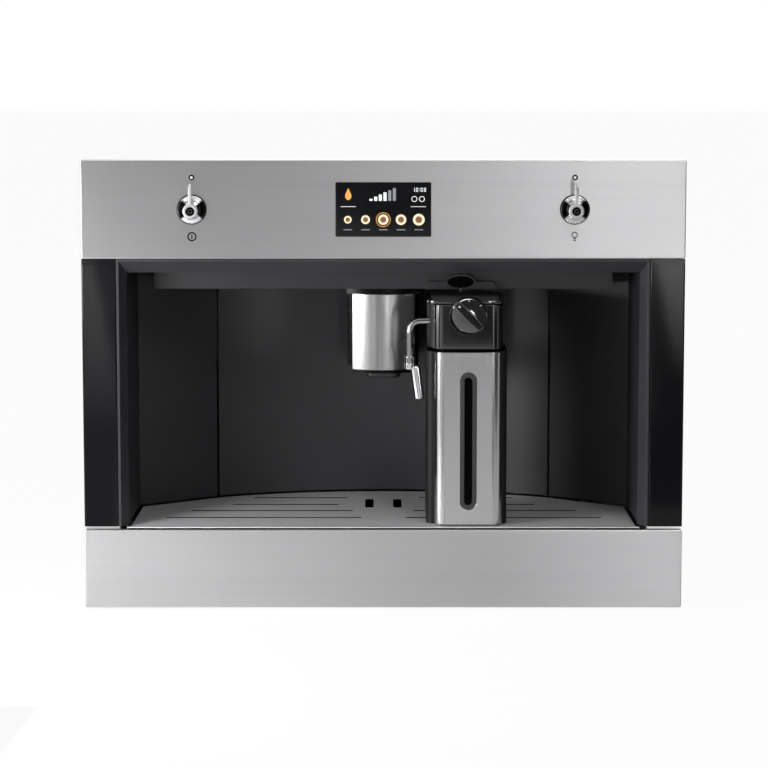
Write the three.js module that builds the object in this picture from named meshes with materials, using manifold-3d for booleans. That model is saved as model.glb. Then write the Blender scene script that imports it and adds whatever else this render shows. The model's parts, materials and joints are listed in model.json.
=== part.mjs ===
// Built-in coffee machine for a 450 mm high kitchen niche, modelled as an assembly.
// Millimetres. X to the right, Y into the cabinet, Z up.
// The origin is the centre of the cradle plate's underside, on the niche floor.
import * as THREE from "three";
import { mergeVertices } from "three/addons/utils/BufferGeometryUtils.js";
import Module from "manifold-3d";

const wasm = await Module();
wasm.setup();

// ---------------------------------------------------------------- driving dimensions
// Fits
const SEAT = 0.3; // gap between two faces that rest on each other
const RUNNING_FIT = 0.4; // gap beside a piece that slides or turns
const OVERCUT = 1; // how far a cutting tool runs past what it cuts
const NEARLY_ROUND = 0.1; // taken off a corner radius where an end is a half circle

// Facets of curved faces
const FACETS_LARGE = 26;
const FACETS_MEDIUM = 18;
const FACETS_SMALL = 12;
const RING_POINTS = 24;
const SLOT_CHAMFER = 0.3; // corner of a slot as a share of its width
const BACK_STRETCHES = 4;
const DOOR_CURVE = { curveSegments: 8 };
const DISC_CURVE = { curveSegments: 32 };
const WELD = 1e-4; // points closer than this are one

// Front
const FASCIA_WIDTH = 597;
const FASCIA_DEPTH = 20;
const FASCIA_LIFT = 2; // lower edge of the front above the niche floor
const LOWER_PANEL_HEIGHT = 79;
const TRAY_REVEAL = 3.4; // dark line between the lower panel and the bay
const BAY_HEIGHT = 266;
const TOP_REVEAL = 2.3; // dark line between the bay and the control panel
const CONTROL_PANEL_HEIGHT = 97.5;
const PANEL_SHEET = 1.2; // steel of the two front panels
const PANEL_CORNER = 1;
const PANEL_EDGE = 1.1; // rolled front edge of a panel
const CARRIER_WALL = 3;
const COLUMN_REVEAL = 36.5; // front's side edge to the bay opening
const FRAME_SHEET = 1.5;
const PANEL_EDGE_STEPS = 2;
const PANEL_TAIL = 5; // length cut off behind a panel's returns
const CARRIER_RIB = 2;
const CARRIER_RIBS = [-0.8, -0.4, 0.4, 0.8]; // places across the half width
const CORE_RIBS = [-0.8, -0.4, 0, 0.4, 0.8];
const FRAME_MARGIN = 6;
const FRAME_TOP_MARGIN = 4;
const FRAME_CLEAR = 1.5;
const FRAME_CORNER = 3;
const FRAME_WINDOW_INSET = 68.5;
const FRAME_WINDOW_BOTTOM = 12;
const FRAME_WINDOW_DROP = 2; // window's upper edge under the top cover
const FRAME_WINDOW_CORNER = 6;
const STOP_PAD_PROUD = 0.8; // pads that meet the cabinet's front edges
const STOP_PAD_BORDER = 1;
const STOP_PAD_GAP = 1.5;
const STOP_PAD_END = 12;
const SURROUND_LIP = 2.2; // the bay surround's face beside the opening
const SURROUND_SETBACK = 0.5;
const COLUMN_ROUND = 1.6;
const COLUMN_BAND = 3.4; // height of the stepped band above a column
const COLUMN_STEP = 1;

// Cabinet body behind the front
const BODY_INSET = 33.5; // front's side edge to the body's side wall
const BODY_DEPTH = 365; // from the face of the front to the rear wall
const BODY_DROP = 25; // top cover below the front's upper edge, out of sight from the front
const BODY_LIFT = 6; // underside of the base pan above the niche floor
const BODY_SHEET = 1.2;
const PAN_SHEET = 1.5;
const PAN_FLANGE = 18;
const SHEET_CORNER = 3;
const TRIM_CORNER = 2;
const PAN_VENT_SPAN = [80, 230];
const PAN_VENT_SETBACKS = [105, 35]; // rear wall to the slots' ends
const PAN_VENT_COUNT = 6;
const SIDE_VENT_SETBACKS = [145, 25];
const SIDE_VENT_DROPS = [96, 31];
const SIDE_VENT_COUNT = 8;
const TOP_VENT_INSETS = [175, 25];
const TOP_VENT_SETBACKS = [115, 35];
const TOP_VENT_COUNT = 8;
const REAR_VENT_INSETS = [175, 35];
const REAR_VENT_DROPS = [
  [101, 71],
  [56, 26],
];
const REAR_VENT_COUNT = 6;
const VENT_SHARE = 0.4; // a vent's width as a share of its pitch
const RUNNER_INSET = 115;
const RUNNER_FOOT = 40;
const RUNNER_CROWN = 22;
const RUNNER_FLANK = 2.4; // sheet thickness measured along the floor on the sloping flank
const RUNNER_START = 4;
const RUNNER_END = 188; // front face to the runner's rear end

// Niche cradle and telescopic rails
const CRADLE_INSET = 19; // front's side edge to the cradle
const CRADLE_DEPTH = 320;
const CRADLE_SETBACK = 30; // from the face of the front to the cradle's front edge
const CRADLE_SHEET = 1.5;
const CRADLE_FLANGE = 78;
const SCREW_SLOT = 6;
const BEAD_HEIGHT = 2;
const RAIL_HEIGHT = 45;
const RAIL_LIFT = 24;
const RAIL_SHEET = 1.2;
const RAIL_LIP_STEP = 1.6; // each rail is this much shallower than the one round it
const CRADLE_CORNER = 4;
const SCREW_SLOT_LENGTH = 18;
const SCREW_INSET = 32;
const SCREW_FRONT = 18;
const SCREW_BACK = 30;
const FLANGE_SLOPE_DEPTH = 14;
const FLANGE_SLOPE_DROP = 20;
const BEAD_WIDTH = 10;
const BEAD_SHARES = [-0.6, -0.3, 0.3, 0.6]; // places across the half width
const BEAD_FRONT = 30;
const BEAD_BACK = 40;

// Bay
const BEZEL_DEPTH = 10;
const BEZEL_SIDE = 6;
const BEZEL_TOP = 10;
const LINER_WALL = 2.5;
const LINER_TAPER = 3; // how far a side wall leans in over its depth
const BAY_SIDE_DEPTH = 126; // front face to the bay's rear corners
const DOOR_INSET = 89; // bay opening's side edge to the curved service door
const DOOR_EDGE_DEPTH = 184.5; // front face to the door's side edges
const DOOR_CENTRE_DEPTH = 224.5; // front face to the middle of the door
const DOOR_WALL = 3;
const HEADER_INSET = 31;
const HEADER_DEPTH = 60; // front face to the header's face
const HEADER_HEIGHT = 23;
const HEADER_WALL = 3;
const LINER_MITRE = 0.65; // corner setback for each millimetre of offset
const LINER_EASE = 0.2;
const LINER_LAP = 2.4; // slanted panel's edge beside the service door
const DOOR_LAP = 0.9;
const DOOR_RIB_X = 58;
const DOOR_RIB = 4;
const DOOR_RIB_DEPTH = 5;
const DOOR_RIB_ROOT = 8;
const DOOR_RIB_END = 12;
const HEADER_DOOR_GAP = 1.2;
const HEADER_SIDE_GAP = 1.8;
const HEADER_EDGE = 4;
const HOOD_OFFSET = 7; // the hood's middle left of the jug's
const HOOD_HALF = 35.5;
const HOOD_CORNER = 5;
const HOOD_SHELF = 7.8; // height of its level top beside the crown
const HOOD_SHOULDER = 15.5;
const HOOD_CROWN = 15.6;
const HOOD_CROWN_REACH = 11.5;
const HOOD_PROUD = 5;
const HOOD_EYE_HEIGHT = 7.2;
const HOOD_EYE_HALF = 13.4;
const HOOD_EYE_RISE = 5.8;
const HOSE_DEPTH = 150; // front face to the coffee hose's axis
const HOSE_COLLAR_RADIUS = 16;
const HOSE_BORE_RADIUS = 11;
const STEAM_GAP = 2;
const STEAM_BLOCK_DEPTH = 18;
const STEAM_CORNER = 3;
const STEAM_BORE_RADIUS = 1.5;
const STEAM_BORE_END = 9;

// Controls
const DISPLAY_WIDTH = 94;
const DISPLAY_HEIGHT = 53.3;
const DISPLAY_CORNER = 1.2;
const DISPLAY_PROUD = 0.5;
const MODULE_DEPTH = 9;
const CONTROL_INSET = 109.7; // front's side edge to each lever
const INDICATOR_RISE = 31.5;
const INDICATOR_RADIUS = 2.6;
const ROSETTE_RADIUS = 14;
const ROSETTE_DEPTH = 4;
const SHAFT_RADIUS = 3;
const HUB_RADIUS = 7.4;
const HUB_FACE = 28; // how far the hub stands out of the panel
const HUB_LENGTH = 8;
const LEVER_LENGTH = 27.3;
const LEVER_WIDTH = 3.3;
const SWITCH_SIZE = 28;
const SWITCH_DEPTH = 22;
const MODULE_BORDER_X = 5;
const MODULE_BORDER_Z = 4;
const CONTROL_BOARD_HALF = 108;
const CONTROL_BOARD_HALF_HEIGHT = 34;
const CHIP_PLACES = [-78, -36, 8, 60];
const CHIP_HALF = 11;
const CHIP_DROP = 3; // chip centres under the board's middle
const CHIP_DEPTHS = [4, 6];
const PLUG_X = 89;
const PLUG_RISE = 8;
const PLUG_HALF_WIDTH = 9;
const PLUG_HALF_HEIGHT = 11;
const PLUG_DEPTH = 9;
const BOARD_LAP = 0.2; // how far soldered parts sink into a board
const INDICATOR_PROUD = 0.6;
const INDICATOR_LENGTH = 10.6;
const ROSETTE_DISH = [
  [1, 0.8], // share of the radius, depth under the rim
  [0.95, 0],
  [0.89, 0.5],
  [0.74, 1.9],
  [0.56, 2.6],
];
const COLLAR_FOOT = 2.4;
const COLLAR_WALL = 1.6;
const COLLAR_SINK = 0.6;
const COLLAR_LENGTH = 6;
const SWITCH_CORNER = 4;
const SWITCH_BOSS_RADIUS = 9.8;
const SWITCH_BOSS_LENGTH = 5;
const SHAFT_END_GAP = 2;
const HUB_DISH = 2.6;
const HUB_ROUND = 0.8;
const HUB_CHAMFER = 3.2;
const HUB_RECESS_RADIUS = 4;
const HUB_RECESS = 1.2;
const FINGER_SINK = 2; // how deep the finger stands in the hub
const FINGER_SETBACK = 1.2;
const FINGER_THICKNESS = 4;
const FINGER_NOSE = 5.2; // how far the bent tip reaches forward
const FINGER_TIP = 3.4;
const FINGER_BEND = 8;

// Coffee spout
const SPOUT_HALF = 31.8;
const SPOUT_FRONT = 88; // front face to the cover's foremost line
const SPOUT_BULGE = 9;
const SPOUT_COVER_DEPTH = 44;
const SPOUT_COVER_HEIGHT = 78;
const SPOUT_COVER_SHEET = 1.2;
const SPOUT_SIDE = 4.7; // plastic that shows beside the cover
const SPOUT_BAND = 6;
const SPOUT_GAP = 2.5; // between the band and the header
const SPOUT_CHIN = 3.5; // plastic under the cover
const NOZZLE_HALF = 17.5;
const NOZZLE_DEPTH = 30;
const NOZZLE_DROP = 6.5;
const OUTLET_SPACING = 22;
const OUTLET_RADIUS = 3.5;
const GUIDE_HALF = 11;
const GUIDE_DEPTH = 18;
const GUIDE_LENGTH = 88;
const GUIDE_LIP = 4;
const GUIDE_LIP_DEPTH = 5;
const SPOUT_CURVE = { curveSegments: 7 };
const CARRIAGE_WRAP = 13; // how far the carriage reaches round the guide
const CARRIAGE_CORNER = 3;
const CARRIAGE_LAP = 2;
const BAND_SIDE = 1; // the band stands out this much beside the carriage
const BAND_PROUD = 1.5;
const BAND_LAP = 4;
const SPOUT_HOSE_RADIUS = 8;
const SPOUT_HOSE_START = 30;
const NOZZLE_SETBACK = 32;
const NOZZLE_CORNER = 5;
const NOZZLE_SEAT = 6;
const NOZZLE_ROUND = 1.5;
const NOZZLE_POWER = 5;
const OUTLET_TOP = 4;

// Milk jug
const JUG_CENTRE = 85;
const JUG_FRONT = 9;
const JUG_COVER_WIDTH = 68.3;
const JUG_COVER_DEPTH = 12;
const JUG_COVER_HEIGHT = 174;
const JUG_COVER_SHEET = 1;
const JUG_CORNER = 10.5;
const JUG_BODY_WIDTH = 80.6;
const JUG_BODY_DEPTH = 84;
const JUG_BODY_OFFSET = 1.5; // the vessel's middle left of the cover's
const JUG_WALL = 2.5;
const JUG_LIFT = 0.9; // under the hanging jug
const SLOT_WIDTH = 16.6;
const SLOT_HEIGHT = 139;
const SLOT_LIFT = 15.5;
const LID_WIDTH = 78;
const LID_HEIGHT = 48.8;
const LID_JOINT = 3.2; // shadow line between jug and lid
const LID_FRONT = 12;
const LID_SKIRT = 8;
const LID_ROOF = 4.3;
const LID_FACE_WIDTH = 67.4; // the narrower front block
const LID_FACE_DEPTH = 12;
const LID_FACE_CORNER = 9;
const LID_FACE_SETBACK = 1.5;
const KNOB_RADIUS = 19.3;
const KNOB_DEPTH = 8.5;
const KNOB_GRIP_HEIGHT = 4.5;
const KNOB_GRIP_WIDTH = 8.6;
const KNOB_DROP = 14.8; // knob axis under the lid's top
const KNOB_SHAFT_RADIUS = 4;
const DOCK_DROP = 20.3; // steam nozzle axis under the lid's top
const DOCK_RADIUS = 4;
const DOCK_REACH = 14;
const DOCK_BLOCK = 15;
const JUG_COVER_TAIL = 20;
const JUG_NECK_GAP = 2;
const JUG_NECK_LAP = 6;
const JUG_INNER_CORNER = 7;
const WINDOW_SETBACK = 0.1;
const WINDOW_DEPTH = 2.6;
const PANE_WIDTH = 8.4;
const PANE_LIFT = 20;
const PANE_HEIGHT = 129;
const PANE_DEPTH = 1.2;
const LID_OFFSET = 2.8; // the lid's middle left of the jug's
const LID_FACE_OFFSET = 1.1;
const LID_SETBACK = 1; // lid wall behind the shoulder's edge
const LID_BACK_SETBACK = 0.5;
const LID_SHOULDER = 0.8;
const LID_ROUND = 1.3;
const LID_POWER = 8;
const LID_LIP = 3; // thickness of the skirt inside the jug
const KNOB_SEAT_RADIUS = 14;
const KNOB_BORE_END = 22;
const KNOB_SHAFT_END = 20;
const KNOB_ROUND = 1.2;
const KNOB_RIM = 2.6;
const KNOB_GRIP_INSET = 1.4;
const KNOB_GRIP_END = 0.7; // grip's half width at its ends, as a share of that in the middle
const KNOB_GRIP_BULGE = 1.25;

// Milk spout
const TUBE_RADIUS = 4.4;
const TUBE_DEPTH = 32; // front face to the tube's axis
const TUBE_DROP = 22.3; // tube axis under the lid's top
const TUBE_REACH = 16.6; // sideways from the lid to the hanging leg
const TUBE_BEND = 12;
const TUBE_HANG = 42;
const MILK_NOZZLE_RADIUS = 5.2;
const MILK_NOZZLE_LENGTH = 33;
const MILK_NOZZLE_LEAN = 8; // degrees
const MILK_NOZZLE_OFFSET = 5;
const TUBE_PLUG = 12; // length inside the lid
const TUBE_PORT = 14;
const TUBE_STEPS = 24;
const TUBE_CURVE = 5;
const TUBE_COLLAR_WALL = 1.4;
const TUBE_COLLAR = 7;
const TUBE_COLLAR_LAP = 0.5;
const MILK_HEAD = 6;
const MILK_NOZZLE_WALL = 1.3;
const MILK_BORE_SHARE = 0.5;
const MILK_BORE_PAST = 1.1;

// Drip drawer
const GRILLE_SHEET = 1.5;
const GRILLE_DROP = 1.2; // grille surface under the bay's lower edge
const GRILLE_MARGIN = 3.6; // grille to the bay's rear walls
const GRILLE_SLOT_ROWS = [59, 100, 137, 179]; // front face to each row of slots
const GRILLE_SLOT_INSETS = [40, 63, 104, 125]; // bay opening's side edge to each row
const GRILLE_SLOT_GAPS = [22, 31, 46, 37]; // inner end of each row
const GRILLE_SLOT_WIDTH = 5;
const DRAIN_OFFSET = 14.6;
const DRAIN_WIDTH = 8.8;
const DRAIN_FRONT = 118;
const DRAIN_BACK = 170;
const HEM_DEPTH = 2.6;
const HEM_DROP = 0.6; // raised hem under the bay's lower edge
const TRAY_DEPTH = 44;
const TRAY_WALL = 2.5;
const TRAY_INSET = 1.2;
const BIN_WIDTH = 122;
const BIN_REAR_GAP = 31;
const BIN_HEIGHT = 66;
const BIN_TAPER = 5;
const BIN_WALL = 2;
const BIN_RIM = 4;
const TONGUE_SHEET = 4;
const TONGUE_BORDER = 7;
const TONGUE_DROP = 4.5;
const GRILLE_FRONT = 4;
const HEM_SETBACK = 1.2;
const HEM_BRIDGE_DROP = 0.8;
const GROOVE_START = 7;
const GROOVE_WIDTH = 2;
const GROOVE_SINK = 0.7;
const TONGUE_CORNER = 4;
const TONGUE_LAP = 3;
const TONGUE_ARM_FRONT = 9;
const BIN_START = 12; // service door to the bin
const BIN_CORNER = 6;
const BIN_RIM_HEIGHT = 2;
const BIN_POWER = 7;

// Works
const BREW_WIDTH = 112;
const BREW_HEIGHT = 186;
const BREW_LIFT = 98;
const BREW_DEPTH = 122;
const CHAMBER_RADIUS = 28;
const GRINDER_SHARE = 0.2734; // its radius as a share of the room behind the bay's door
const GRINDER_HEIGHT = 88;
const THROAT_RADIUS = 24;
const HOPPER_WIDTH = 124;
const HOPPER_LENGTH = 104;
const HOPPER_WALL = 2;
const HOPPER_LID_SHEET = 3;
const HOPPER_LID_BORDER = 6;
const HINGE_HALF = 46; // half length of the lid's hinge barrel
const HINGE_EAR = 4;
const BOILER_RADIUS = 32;
const BOILER_HEIGHT = 96;
const BOILER_LIFT = 210;
const BOILER_INSET = 143;
const BOILER_FINS = 4;
const PUMP_RADIUS = 19;
const PUMP_LENGTH = 78;
const PUMP_OFFSET = 38; // tank's inner side to the pump's axis
const BOARD_SHEET = 1.6;
const TANK_SIDE_GAP = 5.8;
const TANK_WIDTH = 108;
const TANK_HEIGHT = 196;
const TANK_WALL = 2.5;
const TANK_CORNER = 9;
const LAMP_RADIUS = 9;
const LAMP_INSET = 81;
const INLET_INSET = 60;
const INLET_Z = 60;
const INLET_WIDTH = 30;
const INLET_HEIGHT = 24;
const INLET_DEPTH = 24;
const CHEEK_SHEET = 4;
const CHEEK_SETBACK = 12;
const CHEEK_CORNER = 10;
const BREW_LAP = 1;
const BREW_PLATE_FRONT = 24;
const BREW_PLATE_BACK = 4;
const BREW_BASE_LIFT = 4;
const BREW_BASE = 10;
const BREW_CROWN = 14;
const CHAMBER_LIFT = 60;
const CHAMBER_DROP = 40;
const PISTON_WALL = 6;
const PISTON_DROP = 10;
const SCREW_RADIUS = 8;
const BREW_BRIDGE_LIFT = 88;
const BREW_BRIDGE_HEIGHT = 16;
const BREW_BRIDGE_HALF = 12;
const GRINDER_WAIST = 8;
const GRINDER_PROFILE = [0.35, 0.4, 0.75, 0.9]; // heights of its steps as shares
const GRINDER_NECK = 5;
const GRINDER_THROAT_WALL = 3;
const GRINDER_THROAT_DEPTH = 12;
const GRINDER_THROAT_CONE = 4;
const CHUTE_HALF = 12;
const CHUTE_REACH = 10;
const CHUTE_SHARE = 0.55;
const HOPPER_CORNER = 8;
const HOPPER_POWER = 8;
const HOPPER_NECK_WALL = 4;
const HOPPER_NECK_BORE = 2;
const HOPPER_NECK = 8;
const HOPPER_SHOULDER = 36;
const HOPPER_GRIP_HALF = 18;
const HOPPER_GRIP_DEPTH = 5;
const HOPPER_GRIP_SHEET = 1.4;
const HINGE_PIN_RADIUS = 0.8;
const HINGE_CROWN = 0.7; // ear above its bore
const HINGE_NOTCH = 3.4; // lid cut back beside the ears
const BOILER_END = 8;
const BOILER_GROOVE = 4;
const BOILER_ROUND = 6;
const BOILER_FIN_START = 10;
const BOILER_STANDOFF = 16;
const BOILER_PLATE_HALF = 14;
const BOILER_PLATE_INSET = 20;
const UNION_RADIUS = 5;
const UNION_LENGTH = 12;
const PUMP_LIFT = 8;
const PUMP_FORWARD = 7; // before the middle between the bay's door and the rear wall
const PUMP_NECK_RADIUS = 9.5;
const PUMP_NECK = 12;
const PUMP_FOOT_HALF = 16;
const PUMP_FOOT = 8;
const PUMP_FOOT_SHARES = [0.15, 0.75];
const POWER_BOARD_STANDOFF = 10;
const POWER_BOARD_SETBACK = 30;
const POWER_BOARD_LENGTH = 130;
const POWER_BOARD_LIFT = 120;
const POWER_BOARD_HEIGHT = 140;
const POST_INSET = 8;
const POST_RADIUS = 4;
const POWER_PARTS = [
  [24, 0.12, 0.42, 0.14, 0.39], // height off the board, ends as shares of its length and height
  [16, 0.54, 0.85, 0.21, 0.36],
  [12, 0.15, 0.77, 0.61, 0.71],
];
const CAPACITOR_RADIUS = 11;
const CAPACITOR_LENGTH = 30;
const CAPACITOR_SHARES = [0.69, 0.86];
const TANK_GAP = 5.9; // between the liner's slanted panel and the tank
const TANK_BACK_GAP = 3;
const TANK_GRIP_HALF = 9;
const TANK_GRIP_SINK = 2;
const TANK_GRIP_RISE = 3.4;
const TANK_GRIP_INSET = 1;
const SPIGOT_RADIUS = 8;
const SPIGOT_LENGTH = 9;
const VALVE_SETBACK = 50;
const SHELF_BORDER = 1;
const SHELF_HOLE_RADIUS = 9;
const SHELF_LEG_START = 40;
const SHELF_HOOK_INSET = 6;
const SHELF_HOOK_HEIGHT = 14;
const SHELF_HOOK_SETBACKS = [155, 35];
const LAMP_SETBACK = 35;
const LAMP_PROUD = 0.5;
const LAMP_FLANGE = 3;
const LAMP_BODY = 7;
const INLET_CORNER = 3;
const INLET_FLANGE_SIDE = 6;
const INLET_FLANGE_END = 3;
const INLET_FLANGE_CORNER = 5;
const INLET_FLANGE_SHEET = 2.4;
const INLET_WALL = 3;
const INLET_FLOOR = 4;
const PIN_PLACES = [
  [-7, -1],
  [0, 3],
  [7, -1],
];
const PIN_HALF_THICKNESS = 1;
const PIN_HALF_WIDTH = 2.5;
const PIN_SETBACK = 4;

// ---------------------------------------------------------------- derived levels
const FRONT_Y = -(CRADLE_DEPTH / 2 + CRADLE_SETBACK);
const BACK_Y = FRONT_Y + BODY_DEPTH;
const PANEL_BACK_Y = FRONT_Y + FASCIA_DEPTH;
const FRAME_FRONT_Y = PANEL_BACK_Y + SEAT;
const BODY_FRONT_Y = FRAME_FRONT_Y + FRAME_SHEET + SEAT;
const LOWER_TOP = FASCIA_LIFT + LOWER_PANEL_HEIGHT;
const BAY_BOTTOM = LOWER_TOP + TRAY_REVEAL;
const BAY_TOP = BAY_BOTTOM + BAY_HEIGHT;
const CONTROL_BOTTOM = BAY_TOP + TOP_REVEAL;
const CONTROL_TOP = CONTROL_BOTTOM + CONTROL_PANEL_HEIGHT;
const CONTROL_Z = (CONTROL_BOTTOM + CONTROL_TOP) / 2;
const HALF_FASCIA = FASCIA_WIDTH / 2;
const HALF_BAY = HALF_FASCIA - COLUMN_REVEAL;
const HALF_BODY = HALF_FASCIA - BODY_INSET;
const HALF_CRADLE = HALF_FASCIA - CRADLE_INSET;
const WALL_INSIDE = HALF_BODY - BODY_SHEET;
const FRAME_WINDOW_HALF = HALF_FASCIA - FRAME_WINDOW_INSET;
const CONTROL_SPACING = HALF_FASCIA - CONTROL_INSET;
const DOOR_HALF = HALF_BAY - DOOR_INSET;
const HEADER_HALF = HALF_BAY - HEADER_INSET;
const LAMP_SPACING = HEADER_HALF - LAMP_INSET;
const RUNNER_X = HALF_BODY - RUNNER_INSET;
const INLET_X = HALF_BODY - INLET_INSET;
const BOILER_X = HALF_BODY - BOILER_INSET;
const TANK_OUTER_X = WALL_INSIDE - TANK_SIDE_GAP;
const TANK_INNER_X = TANK_OUTER_X - TANK_WIDTH;
const PUMP_X = PUMP_OFFSET - TANK_INNER_X;
const CEILING_Z = BAY_TOP - BEZEL_TOP;
const HEADER_TOP = CEILING_Z - SEAT;
const HEADER_BOTTOM = HEADER_TOP - HEADER_HEIGHT;
const LINER_FRONT_HALF = HALF_BAY - BEZEL_SIDE;
const LINER_BACK_HALF = LINER_FRONT_HALF - LINER_TAPER;
const PAN_TOP = BODY_LIFT + PAN_SHEET;
const BODY_TOP = CONTROL_TOP - BODY_DROP;
const TOP_COVER_Z = BODY_TOP - BODY_SHEET;
const GRILLE_TOP = BAY_BOTTOM - GRILLE_DROP;
const GRILLE_BOTTOM = GRILLE_TOP - GRILLE_SHEET;
const TRAY_TOP = GRILLE_BOTTOM - SEAT;
const TRAY_BOTTOM = TRAY_TOP - TRAY_DEPTH;
const TONGUE_TOP = TRAY_TOP - TONGUE_DROP;
const JUG_BOTTOM = GRILLE_TOP + JUG_LIFT;
const JUG_TOP = JUG_BOTTOM + JUG_COVER_HEIGHT;
const LID_BOTTOM = JUG_TOP + LID_JOINT;
const LID_TOP = LID_BOTTOM + LID_HEIGHT;
const JUG_BODY_FRONT = JUG_FRONT + JUG_COVER_DEPTH + SEAT;
const JUG_BACK = JUG_BODY_FRONT + JUG_BODY_DEPTH;
const WORKS_BACK_Y = BACK_Y - BODY_SHEET - SEAT;
const BREW_Y = WORKS_BACK_Y - BREW_DEPTH / 2;
const GRINDER_RADIUS = GRINDER_SHARE * (WORKS_BACK_Y - atDepth(DOOR_CENTRE_DEPTH));
const BREW_TOP = BREW_LIFT + BREW_HEIGHT;
const GRINDER_BOTTOM = BREW_TOP + SEAT;
const GRINDER_TOP = GRINDER_BOTTOM + GRINDER_HEIGHT;
const HOPPER_BOTTOM = GRINDER_TOP + SEAT;
const TANK_TOP = BODY_TOP + SEAT;
const TANK_BOTTOM = TOP_COVER_Z - TANK_HEIGHT;
const SPOUT_BAND_TOP = HEADER_BOTTOM - SPOUT_GAP;
const SPOUT_COVER_TOP = SPOUT_BAND_TOP - SPOUT_BAND;
const SPOUT_COVER_BOTTOM = SPOUT_COVER_TOP - SPOUT_COVER_HEIGHT;
const SPOUT_CHIN_Z = SPOUT_COVER_BOTTOM - SPOUT_CHIN;
const GUIDE_BACK = DOOR_CENTRE_DEPTH - SEAT - doorSagitta(GUIDE_HALF);
const GUIDE_FRONT = GUIDE_BACK - GUIDE_DEPTH;

// ---------------------------------------------------------------- finishes
function finish(color, roughness, metalness) {
  return new THREE.MeshStandardMaterial({ color, roughness, metalness });
}

const BRUSHED_STEEL = finish(0xb9b7b9, 0.35, 1);
const GRILLE_STEEL = finish(0x8d8b90, 0.38, 1);
const CHROME = finish(0xd9d9dc, 0.08, 1);
const GALVANISED = finish(0x9a9ea2, 0.45, 0.9);
const GLOSS_BLACK = finish(0x08080a, 0.08, 0);
const SATIN_BLACK = finish(0x1c1b1e, 0.42, 0);
const MATT_BLACK = finish(0x131315, 0.7, 0);
const SCREEN_GLASS = finish(0x050506, 0.05, 0);
const CIRCUIT_GREEN = finish(0x1d4a33, 0.55, 0);
const LIGHT_PIPE = finish(0xe8ebee, 0.25, 0);
const CLEAR_TANK = finish(0x8f979c, 0.2, 0);
const CAST_ALLOY = finish(0xa3a4a6, 0.5, 0.9);

// ---------------------------------------------------------------- geometry helpers
const X_AXIS = new THREE.Vector3(1, 0, 0);
const Y_AXIS = new THREE.Vector3(0, 1, 0);
const Z_AXIS = new THREE.Vector3(0, 0, 1);

// Depth behind the front face as a Y coordinate.
function atDepth(depth) {
  return FRONT_Y + depth;
}

// A closed three.js geometry as a solid that can be joined and cut.
function solid(geometry) {
  const bare = geometry.clone();
  for (const name of Object.keys(bare.attributes)) {
    if (name !== "position") bare.deleteAttribute(name);
  }
  const merged = mergeVertices(bare, WELD);
  return new wasm.Manifold(
    new wasm.Mesh({
      numProp: 3,
      vertProperties: Float32Array.from(merged.attributes.position.array),
      triVerts: Uint32Array.from(merged.index.array),
    }),
  );
}

function join(first, ...others) {
  return others.reduce((sum, other) => sum.add(other), first);
}

function cut(base, ...tools) {
  return tools.reduce((rest, tool) => rest.subtract(tool), base);
}

function geometryOf(piece) {
  const { vertProperties, triVerts } = piece.getMesh();
  const geometry = new THREE.BufferGeometry();
  geometry.setAttribute("position", new THREE.BufferAttribute(vertProperties, 3));
  geometry.setIndex(new THREE.BufferAttribute(triVerts, 1));
  const flat = geometry.toNonIndexed();
  flat.computeVertexNormals();
  return flat;
}

// A block between two X, two Y and two Z planes.
function block(x0, x1, y0, y1, z0, z1) {
  const geometry = new THREE.BoxGeometry(x1 - x0, y1 - y0, z1 - z0);
  geometry.translate((x0 + x1) / 2, (y0 + y1) / 2, (z0 + z1) / 2);
  return solid(geometry);
}

function rod(radius, from, to, sides = FACETS_MEDIUM) {
  const axis = new THREE.Vector3().subVectors(to, from);
  const geometry = new THREE.CylinderGeometry(radius, radius, axis.length(), sides);
  geometry.applyQuaternion(new THREE.Quaternion().setFromUnitVectors(Y_AXIS, axis.clone().normalize()));
  geometry.translate(...from.clone().add(to).multiplyScalar(0.5).toArray());
  return solid(geometry);
}

function rodY(radius, x, z, y0, y1, sides) {
  return rod(radius, new THREE.Vector3(x, y0, z), new THREE.Vector3(x, y1, z), sides);
}

function rodZ(radius, x, y, z0, z1, sides) {
  return rod(radius, new THREE.Vector3(x, y, z0), new THREE.Vector3(x, y, z1), sides);
}

function extruded(shape, depth, options = {}) {
  return new THREE.ExtrudeGeometry(shape, { depth, bevelEnabled: false, curveSegments: 2, ...options });
}

// An outline drawn in plan (X, Y), standing from z0 to z1.
function plan(shape, z0, z1, options) {
  return solid(extruded(shape, z1 - z0, options).translate(0, 0, z0));
}

// An outline drawn in front view (X, Z), reaching from y0 back to y1.
function front(shape, y0, y1, options) {
  const basis = new THREE.Matrix4().makeBasis(X_AXIS, Z_AXIS, Y_AXIS.clone().negate());
  return solid(extruded(shape, y1 - y0, options).applyMatrix4(basis).translate(0, y1, 0));
}

// An outline drawn in side view (Y, Z), reaching from x0 to x1.
function side(shape, x0, x1, options) {
  const basis = new THREE.Matrix4().makeBasis(Y_AXIS, Z_AXIS, X_AXIS);
  return solid(extruded(shape, x1 - x0, options).applyMatrix4(basis).translate(x0, 0, 0));
}

function polygon(points) {
  return new THREE.Shape(points.map(([u, v]) => new THREE.Vector2(u, v)));
}

function roundedRect(u0, u1, v0, v1, radius, Kind = THREE.Shape) {
  const outline = new Kind();
  outline.absarc(u1 - radius, v0 + radius, radius, -Math.PI / 2, 0);
  outline.absarc(u1 - radius, v1 - radius, radius, 0, Math.PI / 2);
  outline.absarc(u0 + radius, v1 - radius, radius, Math.PI / 2, Math.PI);
  outline.absarc(u0 + radius, v0 + radius, radius, Math.PI, 1.5 * Math.PI);
  outline.closePath();
  return outline;
}

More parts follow.
